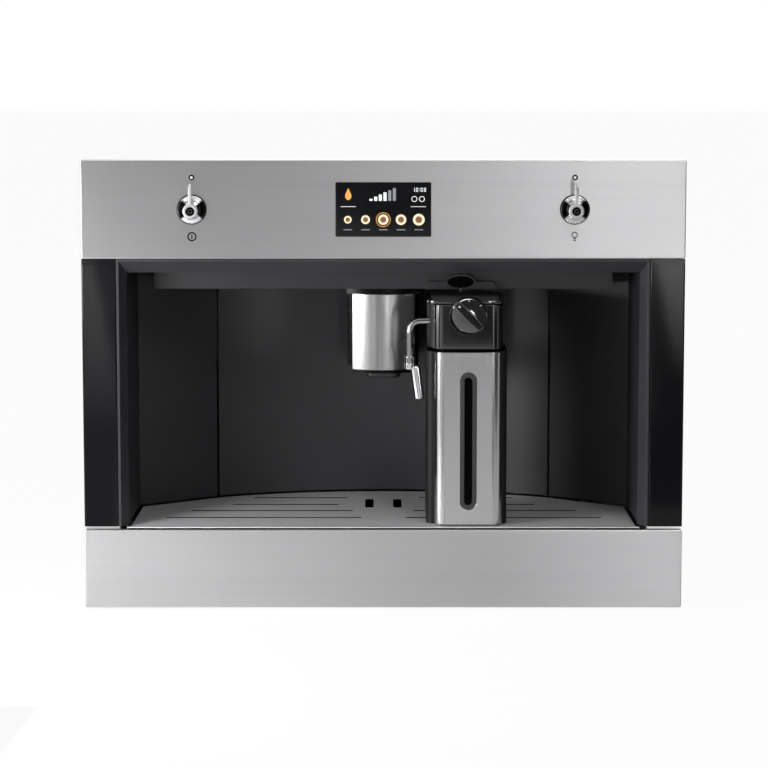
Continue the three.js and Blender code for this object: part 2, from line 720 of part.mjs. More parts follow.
// A long hole with chamfered ends.
function slotPath(u0, u1, v0, v1) {
  const chamfer = Math.min(u1 - u0, v1 - v0) * SLOT_CHAMFER;
  const slot = new THREE.Path();
  slot.moveTo(u0 + chamfer, v0);
  slot.lineTo(u1 - chamfer, v0);
  slot.lineTo(u1, v0 + chamfer);
  slot.lineTo(u1, v1 - chamfer);
  slot.lineTo(u1 - chamfer, v1);
  slot.lineTo(u0 + chamfer, v1);
  slot.lineTo(u0, v1 - chamfer);
  slot.lineTo(u0, v0 + chamfer);
  slot.closePath();
  return slot;
}

// A profile of [radius, height] pairs turned about a vertical axis.
function turned(profile, sides = FACETS_LARGE) {
  const points = profile.map(([r, h]) => new THREE.Vector2(r, h));
  return new THREE.LatheGeometry(points, sides);
}

// A closed skin over rings that all have the same number of points, listed upwards.
function loft(rings) {
  const count = rings[0].length;
  const positions = rings.flat().flatMap((point) => point.toArray());
  const index = [];
  for (let ring = 0; ring + 1 < rings.length; ring += 1) {
    for (let i = 0; i < count; i += 1) {
      const a = ring * count + i;
      const b = ring * count + ((i + 1) % count);
      index.push(a, b, b + count, a, b + count, a + count);
    }
  }
  const last = (rings.length - 1) * count;
  for (let i = 1; i + 1 < count; i += 1) {
    index.push(0, i + 1, i);
    index.push(last, last + i, last + i + 1);
  }
  const geometry = new THREE.BufferGeometry();
  geometry.setAttribute("position", new THREE.Float32BufferAttribute(positions, 3));
  geometry.setIndex(index);
  return solid(geometry);
}

// A superellipse in plan: a rounded rectangle at a high power, an ellipse at 2.
function ring(x, y, z, halfX, halfY, power, count = RING_POINTS) {
  const points = [];
  for (let i = 0; i < count; i += 1) {
    const angle = ((i + 0.5) / count) * 2 * Math.PI;
    const c = Math.cos(angle);
    const s = Math.sin(angle);
    const u = Math.sign(c) * Math.abs(c) ** (2 / power);
    const v = Math.sign(s) * Math.abs(s) ** (2 / power);
    points.push(new THREE.Vector3(x + halfX * u, y + halfY * v, z));
  }
  return points;
}

function mirrored(piece) {
  return piece.mirror([1, 0, 0]);
}

function place(group, name, piece, material) {
  const geometry = piece instanceof THREE.BufferGeometry ? piece : geometryOf(piece);
  const mesh = new THREE.Mesh(geometry, material.clone());
  mesh.name = name;
  group.add(mesh);
  return mesh;
}

// The two sides of the machine: a name ending and the sign of X.
const SIDES = [
  ["left", -1],
  ["right", 1],
];

function placePair(group, name, rightPiece, material) {
  for (const [end, sign] of SIDES) {
    place(group, `${name}_${end}`, sign > 0 ? rightPiece : mirrored(rightPiece), material);
  }
}

// ---------------------------------------------------------------- cradle and rails
// Sheet-steel cradle: a floor plate with pressed beads and screw slots, and two side flanges.
function nicheCradle() {
  const half = HALF_CRADLE;
  const halfDepth = CRADLE_DEPTH / 2;
  const floor = roundedRect(-half, half, -halfDepth, halfDepth, CRADLE_CORNER);
  for (const [, sign] of SIDES) {
    for (const y of [-halfDepth + SCREW_FRONT, halfDepth - SCREW_BACK]) {
      const x = sign * (half - SCREW_INSET);
      const reach = SCREW_SLOT_LENGTH / 2;
      floor.holes.push(slotPath(x - reach, x + reach, y, y + SCREW_SLOT));
    }
  }
  const profile = polygon([
    [-halfDepth, 0],
    [halfDepth, 0],
    [halfDepth, CRADLE_FLANGE],
    [-halfDepth + FLANGE_SLOPE_DEPTH, CRADLE_FLANGE],
    [-halfDepth, CRADLE_FLANGE - FLANGE_SLOPE_DROP],
  ]);
  const flange = side(profile, half - CRADLE_SHEET, half);
  const lip = block(-half, half, halfDepth - CRADLE_SHEET, halfDepth, 0, BODY_LIFT - RUNNING_FIT);
  const [y0, y1] = [-halfDepth + BEAD_FRONT, halfDepth - BEAD_BACK];
  const beads = BEAD_SHARES.map((share) => {
    const [x0, x1] = [share * half - BEAD_WIDTH / 2, share * half + BEAD_WIDTH / 2];
    return block(x0, x1, y0, y1, CRADLE_SHEET / 2, CRADLE_SHEET + BEAD_HEIGHT);
  });
  return join(plan(floor, 0, CRADLE_SHEET), flange, mirrored(flange), lip, ...beads);
}

// C section of one telescopic rail: level 0 is the outer rail, 2 the inner one.
function railSection(level) {
  const webX = HALF_CRADLE - CRADLE_SHEET - SEAT;
  const bodyX = HALF_BODY + SEAT;
  const middle = CRADLE_SHEET + RAIL_LIFT + RAIL_HEIGHT / 2;
  const step = RAIL_SHEET + SEAT;
  const half = RAIL_HEIGHT / 2 - level * step;
  const isInner = level === 2;
  const outside = isInner ? webX - 2 * RAIL_LIP_STEP - step : webX - level * step;
  const inside = isInner ? bodyX : bodyX + RAIL_LIP_STEP;
  const web = isInner ? [inside, inside + RAIL_SHEET] : [outside - RAIL_SHEET, outside];
  const [open, closed] = isInner ? [outside, web[1]] : [inside, web[0]];
  return polygon(
    isInner
      ? [
          [web[0], middle - half],
          [open, middle - half],
          [open, middle - half + RAIL_SHEET],
          [closed, middle - half + RAIL_SHEET],
          [closed, middle + half - RAIL_SHEET],
          [open, middle + half - RAIL_SHEET],
          [open, middle + half],
          [web[0], middle + half],
        ]
      : [
          [open, middle - half],
          [web[1], middle - half],
          [web[1], middle + half],
          [open, middle + half],
          [open, middle + half - RAIL_SHEET],
          [closed, middle + half - RAIL_SHEET],
          [closed, middle - half + RAIL_SHEET],
          [open, middle - half + RAIL_SHEET],
        ],
  );
}

function rail(level) {
  return front(railSection(level), -CRADLE_DEPTH / 2, CRADLE_DEPTH / 2);
}

// ---------------------------------------------------------------- sheet-metal body
// Distances before the rear wall as Y coordinates.
function beforeRear(setbacks) {
  return setbacks.map((setback) => BACK_Y - setback);
}

// A row of upright vent slots.
function ventSlots(u0, u1, v0, v1, count) {
  const pitch = (u1 - u0) / count;
  const half = (pitch * VENT_SHARE) / 2;
  return Array.from({ length: count }, (_, i) => {
    const u = u0 + (i + 0.5) * pitch;
    return slotPath(u - half, u + half, v0, v1);
  });
}

function basePan() {
  const half = WALL_INSIDE - SEAT;
  const back = BACK_Y - BODY_SHEET - SEAT;
  const floor = roundedRect(-half, half, BODY_FRONT_Y, back, SHEET_CORNER);
  floor.holes.push(...ventSlots(...PAN_VENT_SPAN, ...beforeRear(PAN_VENT_SETBACKS), PAN_VENT_COUNT));
  const flangeTop = BODY_LIFT + PAN_FLANGE;
  const flange = block(half - PAN_SHEET, half, BODY_FRONT_Y, back, BODY_LIFT, flangeTop);
  const rear = block(-half, half, back - PAN_SHEET, back, BODY_LIFT, flangeTop);
  const runner = trayRunner();
  const sheet = plan(floor, BODY_LIFT, PAN_TOP);
  return join(sheet, flange, mirrored(flange), rear, runner, mirrored(runner));
}

// Pressed hat-section runner that carries the drip tray.
function trayRunner() {
  const [halfBase, halfTop] = [RUNNER_FOOT / 2, RUNNER_CROWN / 2];
  const top = TRAY_BOTTOM - SEAT;
  const foot = PAN_TOP - PAN_SHEET / 2;
  const section = polygon([
    [RUNNER_X - halfBase, foot],
    [RUNNER_X - halfTop, top],
    [RUNNER_X + halfTop, top],
    [RUNNER_X + halfBase, foot],
    [RUNNER_X + halfBase - RUNNER_FLANK, foot],
    [RUNNER_X + halfTop - PAN_SHEET, top - PAN_SHEET],
    [RUNNER_X - halfTop + PAN_SHEET, top - PAN_SHEET],
    [RUNNER_X - halfBase + RUNNER_FLANK, foot],
  ]);
  return front(section, BODY_FRONT_Y + RUNNER_START, atDepth(RUNNER_END));
}

function sideWall() {
  const [y0, y1] = [BODY_FRONT_Y, BACK_Y - BODY_SHEET - SEAT];
  const outline = roundedRect(y0, y1, BODY_LIFT, TOP_COVER_Z - SEAT, TRIM_CORNER);
  const [low, high] = SIDE_VENT_DROPS.map((drop) => BODY_TOP - drop);
  outline.holes.push(...ventSlots(...beforeRear(SIDE_VENT_SETBACKS), low, high, SIDE_VENT_COUNT));
  return side(outline, WALL_INSIDE, HALF_BODY);
}

function inletWindow(clearance) {
  const [hx, hz] = [INLET_WIDTH / 2 + clearance, INLET_HEIGHT / 2 + clearance];
  return roundedRect(INLET_X - hx, INLET_X + hx, INLET_Z - hz, INLET_Z + hz, INLET_CORNER, THREE.Path);
}

function rearWall() {
  const outline = roundedRect(-HALF_BODY, HALF_BODY, BODY_LIFT, TOP_COVER_Z - SEAT, TRIM_CORNER);
  outline.holes.push(inletWindow(SEAT));
  for (const [, sign] of SIDES) {
    const [a, b] = REAR_VENT_INSETS.map((inset) => sign * (HALF_BODY - inset));
    for (const [low, high] of REAR_VENT_DROPS.map((drops) => drops.map((drop) => BODY_TOP - drop))) {
      outline.holes.push(...ventSlots(Math.min(a, b), Math.max(a, b), low, high, REAR_VENT_COUNT));
    }
  }
  return front(outline, BACK_Y - BODY_SHEET, BACK_Y);
}

// Plan of the tank's space: a corner behind the slanted liner, rounded at its corners.
function tankOutline(inset, Kind = THREE.Shape) {
  const outer = -(TANK_OUTER_X - inset);
  const inner = -(TANK_INNER_X + inset);
  const back = WORKS_BACK_Y - TANK_BACK_GAP - inset;
  const gap = LINER_WALL + TANK_GAP + inset;
  const frontAt = (x) => slantY(x) + gap * slantStretch();
  const corner = TANK_CORNER - inset;
  const outline = new Kind();
  outline.moveTo(outer, back - corner);
  outline.lineTo(outer, frontAt(outer) + corner);
  outline.quadraticCurveTo(outer, frontAt(outer), outer + corner, frontAt(outer + corner));
  outline.lineTo(inner - corner, frontAt(inner - corner));
  outline.quadraticCurveTo(inner, frontAt(inner), inner, frontAt(inner) + corner);
  outline.lineTo(inner, back - corner);
  outline.quadraticCurveTo(inner, back, inner - corner, back);
  outline.lineTo(outer + corner, back);
  outline.quadraticCurveTo(outer, back, outer, back - corner);
  return outline;
}

// Rise of the liner's slanted rear wall for each millimetre towards the middle.
function linerSlope() {
  return (DOOR_EDGE_DEPTH - BAY_SIDE_DEPTH) / (LINER_BACK_HALF - DOOR_HALF);
}

// Y of the liner's slanted rear panel at this distance from the middle.
function slantY(x) {
  return atDepth(BAY_SIDE_DEPTH) + (LINER_BACK_HALF - Math.abs(x)) * linerSlope();
}

// Length along Y of a millimetre square to the slanted panel.
function slantStretch() {
  return Math.hypot(1, linerSlope());
}

// Axis of the hopper lid's hinge: its Y and Z.
function hopperHinge() {
  const y = BREW_Y + HOPPER_LENGTH / 2 + HOPPER_LID_BORDER;
  return { y, z: BODY_TOP + SEAT + HOPPER_LID_SHEET / 2 };
}

function topCover() {
  const outline = roundedRect(-HALF_BODY, HALF_BODY, BODY_FRONT_Y, BACK_Y, SHEET_CORNER);
  const [hx, hy] = [HOPPER_WIDTH / 2 + SEAT, HOPPER_LENGTH / 2 + SEAT];
  outline.holes.push(roundedRect(-hx, hx, BREW_Y - hy, BREW_Y + hy, HOPPER_CORNER, THREE.Path));
  outline.holes.push(tankOutline(-SEAT * 2, THREE.Path));
  const ventEnds = TOP_VENT_INSETS.map((inset) => HALF_BODY - inset);
  outline.holes.push(...ventSlots(...ventEnds, ...beforeRear(TOP_VENT_SETBACKS), TOP_VENT_COUNT));
  const { y, z } = hopperHinge();
  const earX = HINGE_HALF + SEAT;
  const bore = HINGE_PIN_RADIUS + RUNNING_FIT;
  const ear = cut(
    block(earX, earX + HINGE_EAR, y - HINGE_EAR / 2, y + HINGE_EAR, TOP_COVER_Z, z + bore + HINGE_CROWN),
    rod(bore, new THREE.Vector3(earX - OVERCUT, y, z), new THREE.Vector3(earX + HINGE_EAR - OVERCUT, y, z)),
  );
  return join(plan(outline, TOP_COVER_Z, BODY_TOP), ear, mirrored(ear));
}

function frontFrame() {
  const half = HALF_FASCIA - FRAME_MARGIN;
  const outline = roundedRect(-half, half, BAY_BOTTOM, CONTROL_TOP - FRAME_TOP_MARGIN, FRAME_CORNER);
  const w = FRAME_WINDOW_HALF;
  const [z0, z1] = [CONTROL_BOTTOM + FRAME_WINDOW_BOTTOM, TOP_COVER_Z - FRAME_WINDOW_DROP];
  const window = roundedRect(-w, w, z0, z1, FRAME_WINDOW_CORNER, THREE.Path);
  outline.holes.push(window);
  const backY = FRAME_FRONT_Y + FRAME_SHEET;
  const plate = front(outline, FRAME_FRONT_Y, backY);
  const [padX0, padX1] = [HALF_CRADLE + STOP_PAD_GAP, half - STOP_PAD_BORDER];
  const [padZ0, padZ1] = [BAY_BOTTOM + STOP_PAD_END, CONTROL_TOP - FRAME_TOP_MARGIN - STOP_PAD_END];
  const padFoot = FRAME_FRONT_Y + FRAME_SHEET / 2;
  const pad = block(padX0, padX1, padFoot, backY + STOP_PAD_PROUD, padZ0, padZ1);
  const [bay, top] = [HALF_BAY + FRAME_CLEAR, CONTROL_BOTTOM - SEAT];
  const opening = block(-bay, bay, PANEL_BACK_Y, BODY_FRONT_Y, BAY_BOTTOM - OVERCUT, top);
  return cut(join(plate, pad, mirrored(pad)), opening);
}

// ---------------------------------------------------------------- front
// Folded steel panel: a face with rolled edges and returns on all four sides.
function foldedPanel(z0, z1) {
  const [half, edge] = [HALF_FASCIA, PANEL_EDGE];
  const outline = roundedRect(-half + edge, half - edge, z0 + edge, z1 - edge, PANEL_CORNER);
  const options = {
    bevelEnabled: true,
    bevelSize: edge,
    bevelThickness: edge,
    bevelSegments: PANEL_EDGE_STEPS,
  };
  const [tailY, s, c] = [PANEL_BACK_Y + PANEL_TAIL, PANEL_SHEET, OVERCUT];
  const bar = front(outline, FRONT_Y + edge, tailY, options);
  const tail = block(-half - c, half + c, PANEL_BACK_Y, tailY + edge + c, z0 - c, z1 + c);
  const inside = block(s - half, half - s, FRONT_Y + s, tailY + edge + c, z0 + s, z1 - s);
  return cut(bar, tail, inside);
}

function displayWindow(clearance, y0, y1) {
  const [hx, hz] = [DISPLAY_WIDTH / 2 + clearance, DISPLAY_HEIGHT / 2 + clearance];
  return front(roundedRect(-hx, hx, CONTROL_Z - hz, CONTROL_Z + hz, DISPLAY_CORNER), y0, y1);
}

function controlHoles(y0, y1) {
  return SIDES.flatMap(([, sign]) => [
    rodY(SHAFT_RADIUS + RUNNING_FIT, sign * CONTROL_SPACING, CONTROL_Z, y0, y1),
    rodY(INDICATOR_RADIUS + SEAT, sign * CONTROL_SPACING, CONTROL_Z + INDICATOR_RISE, y0, y1, FACETS_SMALL),
  ]);
}

function controlPanel() {
  const [y0, y1] = [FRONT_Y - OVERCUT, PANEL_BACK_Y];
  return cut(foldedPanel(CONTROL_BOTTOM, CONTROL_TOP), displayWindow(SEAT, y0, y1), ...controlHoles(y0, y1));
}

// Moulded tray behind a steel panel, with a rim and upright ribs.
function panelCarrier(z0, z1, ribs) {
  const inset = PANEL_SHEET + SEAT;
  const [half, y0, y1] = [HALF_FASCIA - inset, FRONT_Y + inset, PANEL_BACK_Y - SEAT];
  const [bottom, top] = [z0 + inset, z1 - inset];
  const tray = front(roundedRect(-half, half, bottom, top, PANEL_CORNER), y0, y1);
  const [w, lap] = [CARRIER_WALL, CARRIER_RIB / 2];
  const pocket = block(-half + w, half - w, y0 + w, y1 + OVERCUT, bottom + w, top - w);
  const webs = ribs.map((share) => {
    const x = share * HALF_FASCIA;
    return block(x - lap, x + lap, y0 + lap, y1, bottom + lap, top - lap);
  });
  return join(cut(tray, pocket), ...webs);
}

function controlPanelCarrier() {
  const [y0, y1] = [FRONT_Y - OVERCUT, PANEL_BACK_Y + OVERCUT];
  const carrier = panelCarrier(CONTROL_BOTTOM, CONTROL_TOP, CARRIER_RIBS);
  return cut(carrier, displayWindow(SEAT, y0, y1), ...controlHoles(y0, y1));
}

function displayGlass() {
  const back = FRONT_Y + PANEL_SHEET + SEAT + CARRIER_WALL;
  return displayWindow(0, FRONT_Y - DISPLAY_PROUD, back);
}

// Screen module on the control board, with the board's larger components.
function controlBoard() {
  const y0 = FRONT_Y + PANEL_SHEET + CARRIER_WALL + 2 * SEAT;
  const y1 = y0 + MODULE_DEPTH;
  const [hx, hz] = [DISPLAY_WIDTH / 2 + MODULE_BORDER_X, DISPLAY_HEIGHT / 2 + MODULE_BORDER_Z];
  const module = front(roundedRect(-hx, hx, CONTROL_Z - hz, CONTROL_Z + hz, TRIM_CORNER), y0, y1);
  const [bx, bz] = [CONTROL_BOARD_HALF, CONTROL_BOARD_HALF_HEIGHT];
  const [boardY, backY] = [y1 - BOARD_LAP, y1 + BOARD_SHEET];
  const board = front(roundedRect(-bx, bx, CONTROL_Z - bz, CONTROL_Z + bz, SHEET_CORNER), boardY, backY);
  const soldered = (x, z, halfX, halfZ, height) =>
    block(x - halfX, x + halfX, backY - BOARD_LAP, backY + height, z - halfZ, z + halfZ);
  const chipZ = CONTROL_Z - CHIP_DROP;
  const chips = CHIP_PLACES.map((x, i) =>
    soldered(x, chipZ, CHIP_HALF, CHIP_HALF, CHIP_DEPTHS[i % CHIP_DEPTHS.length]),
  );
  const plug = soldered(PLUG_X, CONTROL_Z + PLUG_RISE, PLUG_HALF_WIDTH, PLUG_HALF_HEIGHT, PLUG_DEPTH);
  return join(module, board, plug, ...chips);
}

// Chrome dish with a raised rim and a collar round the lever's shaft.
function rosette(x) {
  const bore = SHAFT_RADIUS + RUNNING_FIT;
  const [r, h] = [ROSETTE_RADIUS, ROSETTE_DEPTH];
  const geometry = turned(
    [
      [bore, 0],
      [r, 0],
      ...ROSETTE_DISH.map(([share, depth]) => [r * share, h - depth]),
      [bore + COLLAR_FOOT, h - COLLAR_SINK],
      [bore + COLLAR_WALL, h + COLLAR_LENGTH],
      [bore, h + COLLAR_LENGTH],
      [bore, 0],
    ],
    FACETS_LARGE,
  );
  geometry.rotateX(Math.PI);
  geometry.translate(x, FRONT_Y - SEAT, CONTROL_Z);
  return solid(geometry);
}

function indicator(x) {
  const y = FRONT_Y - INDICATOR_PROUD;
  return rodY(INDICATOR_RADIUS, x, CONTROL_Z + INDICATOR_RISE, y, y + INDICATOR_LENGTH, FACETS_SMALL);
}

// Rotary switch behind the panel, with the blind bore that the lever's shaft turns in.
function rotarySwitch(x) {
  const y0 = FRONT_Y + PANEL_SHEET + CARRIER_WALL + 2 * SEAT;
  const half = SWITCH_SIZE / 2;
  const y1 = y0 + SWITCH_DEPTH;
  const outline = roundedRect(x - half, x + half, CONTROL_Z - half, CONTROL_Z + half, SWITCH_CORNER);
  const boss = rodY(SWITCH_BOSS_RADIUS, x, CONTROL_Z, y1 - OVERCUT, y1 + SWITCH_BOSS_LENGTH);
  const bore = rodY(SHAFT_RADIUS + RUNNING_FIT, x, CONTROL_Z, y0 - OVERCUT, y1);
  return cut(join(front(outline, y0, y1), boss), bore);
}

// Control lever: a shaft, a round hub with a sunk face, and a bent finger rising from it.
function lever(x) {
  const hubFront = FRONT_Y - HUB_FACE;
  const hubBack = hubFront + HUB_LENGTH;
  const shaftEnd = FRONT_Y + PANEL_SHEET + CARRIER_WALL + SWITCH_DEPTH - SHAFT_END_GAP;
  const shaft = rodY(SHAFT_RADIUS, x, CONTROL_Z, hubBack - OVERCUT, shaftEnd);
  const profile = turned([
    [0, 0],
    [HUB_RADIUS - HUB_DISH, 0],
    [HUB_RADIUS - HUB_ROUND, HUB_CHAMFER / 2],
    [HUB_RADIUS, HUB_CHAMFER],
    [HUB_RADIUS, HUB_LENGTH - HUB_ROUND],
    [HUB_RADIUS - HUB_ROUND, HUB_LENGTH],
    [HUB_RECESS_RADIUS, HUB_LENGTH],
    [HUB_RECESS_RADIUS, HUB_LENGTH - HUB_RECESS],
    [0, HUB_LENGTH - HUB_RECESS],
  ]);
  profile.rotateX(Math.PI);
  profile.translate(x, hubBack, CONTROL_Z);
  const [w, tip, root] = [LEVER_WIDTH / 2, CONTROL_Z + LEVER_LENGTH, CONTROL_Z + HUB_RADIUS - FINGER_SINK];
  const near = hubFront + FINGER_SETBACK;
  const far = near + FINGER_THICKNESS;
  const finger = new THREE.Shape();
  finger.moveTo(near, root);
  finger.lineTo(near, tip - FINGER_BEND);
  finger.quadraticCurveTo(near, tip - FINGER_TIP, near - FINGER_NOSE, tip - FINGER_TIP);
  finger.lineTo(near - FINGER_NOSE, tip);
  finger.quadraticCurveTo(far, tip, far, tip - FINGER_BEND);
  finger.lineTo(far, root);
  finger.closePath();
  return join(solid(profile), shaft, side(finger, x - w, x + w));
}

// Gloss-black upright beside the bay: a hollow post with rounded front edges.
function column() {
  const outline = new THREE.Shape();
  const [x0, x1, y0, y1] = [HALF_BAY + SURROUND_LIP + SEAT, HALF_FASCIA, FRONT_Y, PANEL_BACK_Y];
  const r = COLUMN_ROUND;
  outline.moveTo(x0, y1);
  outline.lineTo(x0, y0 + r);
  outline.absarc(x0 + r, y0 + r, r, Math.PI, 1.5 * Math.PI);
  outline.absarc(x1 - r, y0 + r, r, 1.5 * Math.PI, 2 * Math.PI);
  outline.lineTo(x1, y1);
  outline.closePath();
  const [w, c] = [LINER_WALL, OVERCUT];
  const [top, bandZ] = [CONTROL_BOTTOM - SEAT, BAY_TOP - COLUMN_BAND];
  const post = plan(outline, BAY_BOTTOM, top);
  const pocket = block(x0 + w, x1 - w, y0 + w + COLUMN_STEP, y1 + c, BAY_BOTTOM + w, top - w);
  const step = block(x0 - c, x1 + c, y0 - c, y0 + COLUMN_STEP, bandZ, top + c);
  return cut(post, pocket, step);
}

// ---------------------------------------------------------------- bay
// The opening's bevelled surround: wide at the front, narrower where the liner starts.
function bezelCutter() {
  const [f, b] = [FRONT_Y, atDepth(BEZEL_DEPTH + LINER_WALL + OVERCUT)];
  const slope = (BEZEL_DEPTH + LINER_WALL + OVERCUT) / BEZEL_DEPTH;
  const [wide, narrow] = [HALF_BAY, HALF_BAY - BEZEL_SIDE * slope];
  const [high, low] = [BAY_TOP, BAY_TOP - BEZEL_TOP * slope];
  const base = BAY_BOTTOM - OVERCUT;
  const rect = (half, y, top) =>
    [
      [-half, base],
      [-half, top],
      [half, top],
      [half, base],
    ].map(([x, z]) => new THREE.Vector3(x, y, z));
  return loft([rect(wide, f, high), rect(narrow, b, low)]);
}

// One side wall and slanted rear panel of the liner, in plan.
function linerWallOutline() {
  const [w, y0] = [LINER_WALL, atDepth(BEZEL_DEPTH)];
  const edge = DOOR_HALF + LINER_LAP;
  return polygon([
    [LINER_FRONT_HALF, y0],
    [LINER_FRONT_HALF + w, y0],
    [LINER_BACK_HALF + w, atDepth(BAY_SIDE_DEPTH) + w * LINER_MITRE],
    [edge, slantY(edge) + w * slantStretch()],
    [edge, slantY(edge)],
    [LINER_BACK_HALF, atDepth(BAY_SIDE_DEPTH)],
  ]);
}

// Centre and radius of the service door's curve, seen from above.
function doorArc() {
  const rise = DOOR_CENTRE_DEPTH - DOOR_EDGE_DEPTH;
  const radius = (DOOR_HALF * DOOR_HALF + rise * rise) / (2 * rise);
  return { radius, y: atDepth(DOOR_CENTRE_DEPTH) - radius };
}

// How far the door's face comes forward at this distance from its middle.
function doorSagitta(x) {
  const { radius } = doorArc();
  return radius - Math.sqrt(radius * radius - x * x);
}

// The arc across the bay's back, in equal stretches.
function curvedBack(outline, y, radius, span) {
  const step = (Math.PI - 2 * span) / BACK_STRETCHES;
  for (let i = 0; i < BACK_STRETCHES; i += 1) {
    outline.absarc(0, y, radius, span + i * step, span + (i + 1) * step);
  }
}

// Outline of the bay's floor: straight sides, slanted rear corners and a curved back.
function bayOutline(inset, frontDepth) {
  const { radius, y } = doorArc();
  const r = radius - inset;
  const [half, back] = [LINER_FRONT_HALF - inset + LINER_EASE, LINER_BACK_HALF - inset];
  const cornerY = atDepth(BAY_SIDE_DEPTH) - inset * LINER_MITRE;
  const slantEnd = cornerY + (back - DOOR_HALF) * linerSlope();
  const span = Math.acos(DOOR_HALF / r);
  const edgeY = Math.min(slantEnd, y + r * Math.sin(span));
  const outline = new THREE.Shape();
  outline.moveTo(-half, atDepth(frontDepth));
  outline.lineTo(half, atDepth(frontDepth));
  outline.lineTo(back, cornerY);
  outline.lineTo(DOOR_HALF, edgeY);
  curvedBack(outline, y, r, span);
  outline.lineTo(-DOOR_HALF, edgeY);
  outline.lineTo(-back, cornerY);
  outline.closePath();
  return outline;
}

function baySurround() {
  const [x1, top] = [HALF_BAY + SURROUND_LIP, CONTROL_BOTTOM - SEAT];
  const depth = BEZEL_DEPTH + LINER_WALL;
  const frame = block(-x1, x1, FRONT_Y + SURROUND_SETBACK, atDepth(depth), BAY_BOTTOM, top);
  const wall = plan(linerWallOutline(), BAY_BOTTOM, CEILING_Z + LINER_WALL);
  const ceilingOutline = bayOutline(-LINER_WALL / 2, depth - LINER_WALL / 2);
  const ceiling = plan(ceilingOutline, CEILING_Z, CEILING_Z + LINER_WALL);
  return join(cut(frame, bezelCutter()), wall, mirrored(wall), ceiling);
}

// Curved door in the bay's rear wall, stiffened by two upright ribs.
function serviceDoor() {
  const { radius, y } = doorArc();
  const half = DOOR_HALF + DOOR_LAP;
  const sector = (r) => Math.acos(half / r);
  const outline = new THREE.Shape();
  const outer = radius + DOOR_WALL;
  outline.absarc(0, y, outer, sector(outer), Math.PI - sector(outer));
  outline.absarc(0, y, radius, Math.PI - sector(radius), sector(radius), true);
  outline.closePath();
  const [z0, z1] = [BAY_BOTTOM + SEAT, CEILING_Z - SEAT];
  const leaf = plan(outline, z0, z1, DOOR_CURVE);
  const ribBack = atDepth(DOOR_CENTRE_DEPTH) + DOOR_WALL + DOOR_RIB_DEPTH;
  const ribFront = ribBack - DOOR_RIB_DEPTH - DOOR_RIB_ROOT;
  const [ribX, ribZ0, ribZ1] = [DOOR_RIB_X, z0 + DOOR_RIB_END, z1 - DOOR_RIB_END];
  const rib = block(ribX, ribX + DOOR_RIB, ribFront, ribBack, ribZ0, ribZ1);
  const bay = roundDisc(radius + DOOR_WALL / 2, y);
  const inside = plan(bay, z0 - OVERCUT, z1 + OVERCUT, DISC_CURVE);
  return join(leaf, cut(join(rib, mirrored(rib)), inside));
}

function roundDisc(radius, y) {
  const shape = new THREE.Shape();
  shape.absarc(0, y, radius, 0, 2 * Math.PI);
  return shape;
}

function headerOutline(inset) {
  const { radius, y } = doorArc();
  const half = HEADER_HALF - inset;
  const r = radius - HEADER_DOOR_GAP - inset;
  const gap = (HEADER_SIDE_GAP + inset) * slantStretch();
  const span = Math.acos((DOOR_HALF - HEADER_EDGE) / r);
  const outline = new THREE.Shape();
  outline.moveTo(-half, atDepth(HEADER_DEPTH + inset));
  outline.lineTo(half, atDepth(HEADER_DEPTH + inset));
  outline.lineTo(half, slantY(half) - gap);
  outline.lineTo(DOOR_HALF, slantY(DOOR_HALF) - gap - HEADER_DOOR_GAP);
  curvedBack(outline, y, r, span);
  outline.lineTo(-DOOR_HALF, slantY(DOOR_HALF) - gap - HEADER_DOOR_GAP);
  outline.lineTo(-half, slantY(half) - gap);
  outline.closePath();
  return outline;
}

// Hood on the header's face above the jug: a level top, a crown in its middle and an oval window.
function jugHood() {
  const [cx, z0] = [JUG_CENTRE - HOOD_OFFSET, HEADER_BOTTOM];
  const [half, corner, shoulder, reach] = [HOOD_HALF, HOOD_CORNER, HOOD_SHOULDER, HOOD_CROWN_REACH];
  const [shelf, crown] = [z0 + HOOD_SHELF, z0 + HOOD_CROWN];
  const arch = new THREE.Shape();
  arch.moveTo(cx - half, z0);
  arch.lineTo(cx + half, z0);
  arch.quadraticCurveTo(cx + half, shelf, cx + half - corner, shelf);
  arch.lineTo(cx + shoulder, shelf);
  arch.quadraticCurveTo(cx + reach, crown, cx, crown);
  arch.quadraticCurveTo(cx - reach, crown, cx - shoulder, shelf);
  arch.lineTo(cx - half + corner, shelf);
  arch.quadraticCurveTo(cx - half, shelf, cx - half, z0);
  const eye = new THREE.Path();
  eye.absellipse(cx, z0 + HOOD_EYE_HEIGHT, HOOD_EYE_HALF, HOOD_EYE_RISE, 0, 2 * Math.PI);
  arch.holes.push(eye);
  return front(arch, atDepth(HEADER_DEPTH - HOOD_PROUD), atDepth(HEADER_DEPTH) + OVERCUT, DOOR_CURVE);
}

function headerBox() {
  const shell = plan(headerOutline(0), HEADER_BOTTOM, HEADER_TOP);
  const [w, c, hoseY] = [HEADER_WALL, OVERCUT, atDepth(HOSE_DEPTH)];
  const pocket = plan(headerOutline(w), HEADER_BOTTOM + w, HEADER_TOP + c);
  const lamps = SIDES.map(([, sign]) => lampHole(sign * LAMP_SPACING, SEAT));
  const collar = rodZ(HOSE_COLLAR_RADIUS, 0, hoseY, HEADER_BOTTOM + c, HEADER_TOP);
  const bore = rodZ(HOSE_BORE_RADIUS, 0, hoseY, HEADER_BOTTOM - c, HEADER_TOP + c);
  return cut(join(cut(shell, pocket), collar, jugHood()), bore, ...lamps);
}

function lampHole(x, clearance) {
  const y = atDepth(HEADER_DEPTH + LAMP_SETBACK);
  const [z0, z1] = [HEADER_BOTTOM - OVERCUT, HEADER_BOTTOM + HEADER_WALL + OVERCUT];
  return rodZ(LAMP_RADIUS + clearance, x, y, z0, z1);
}

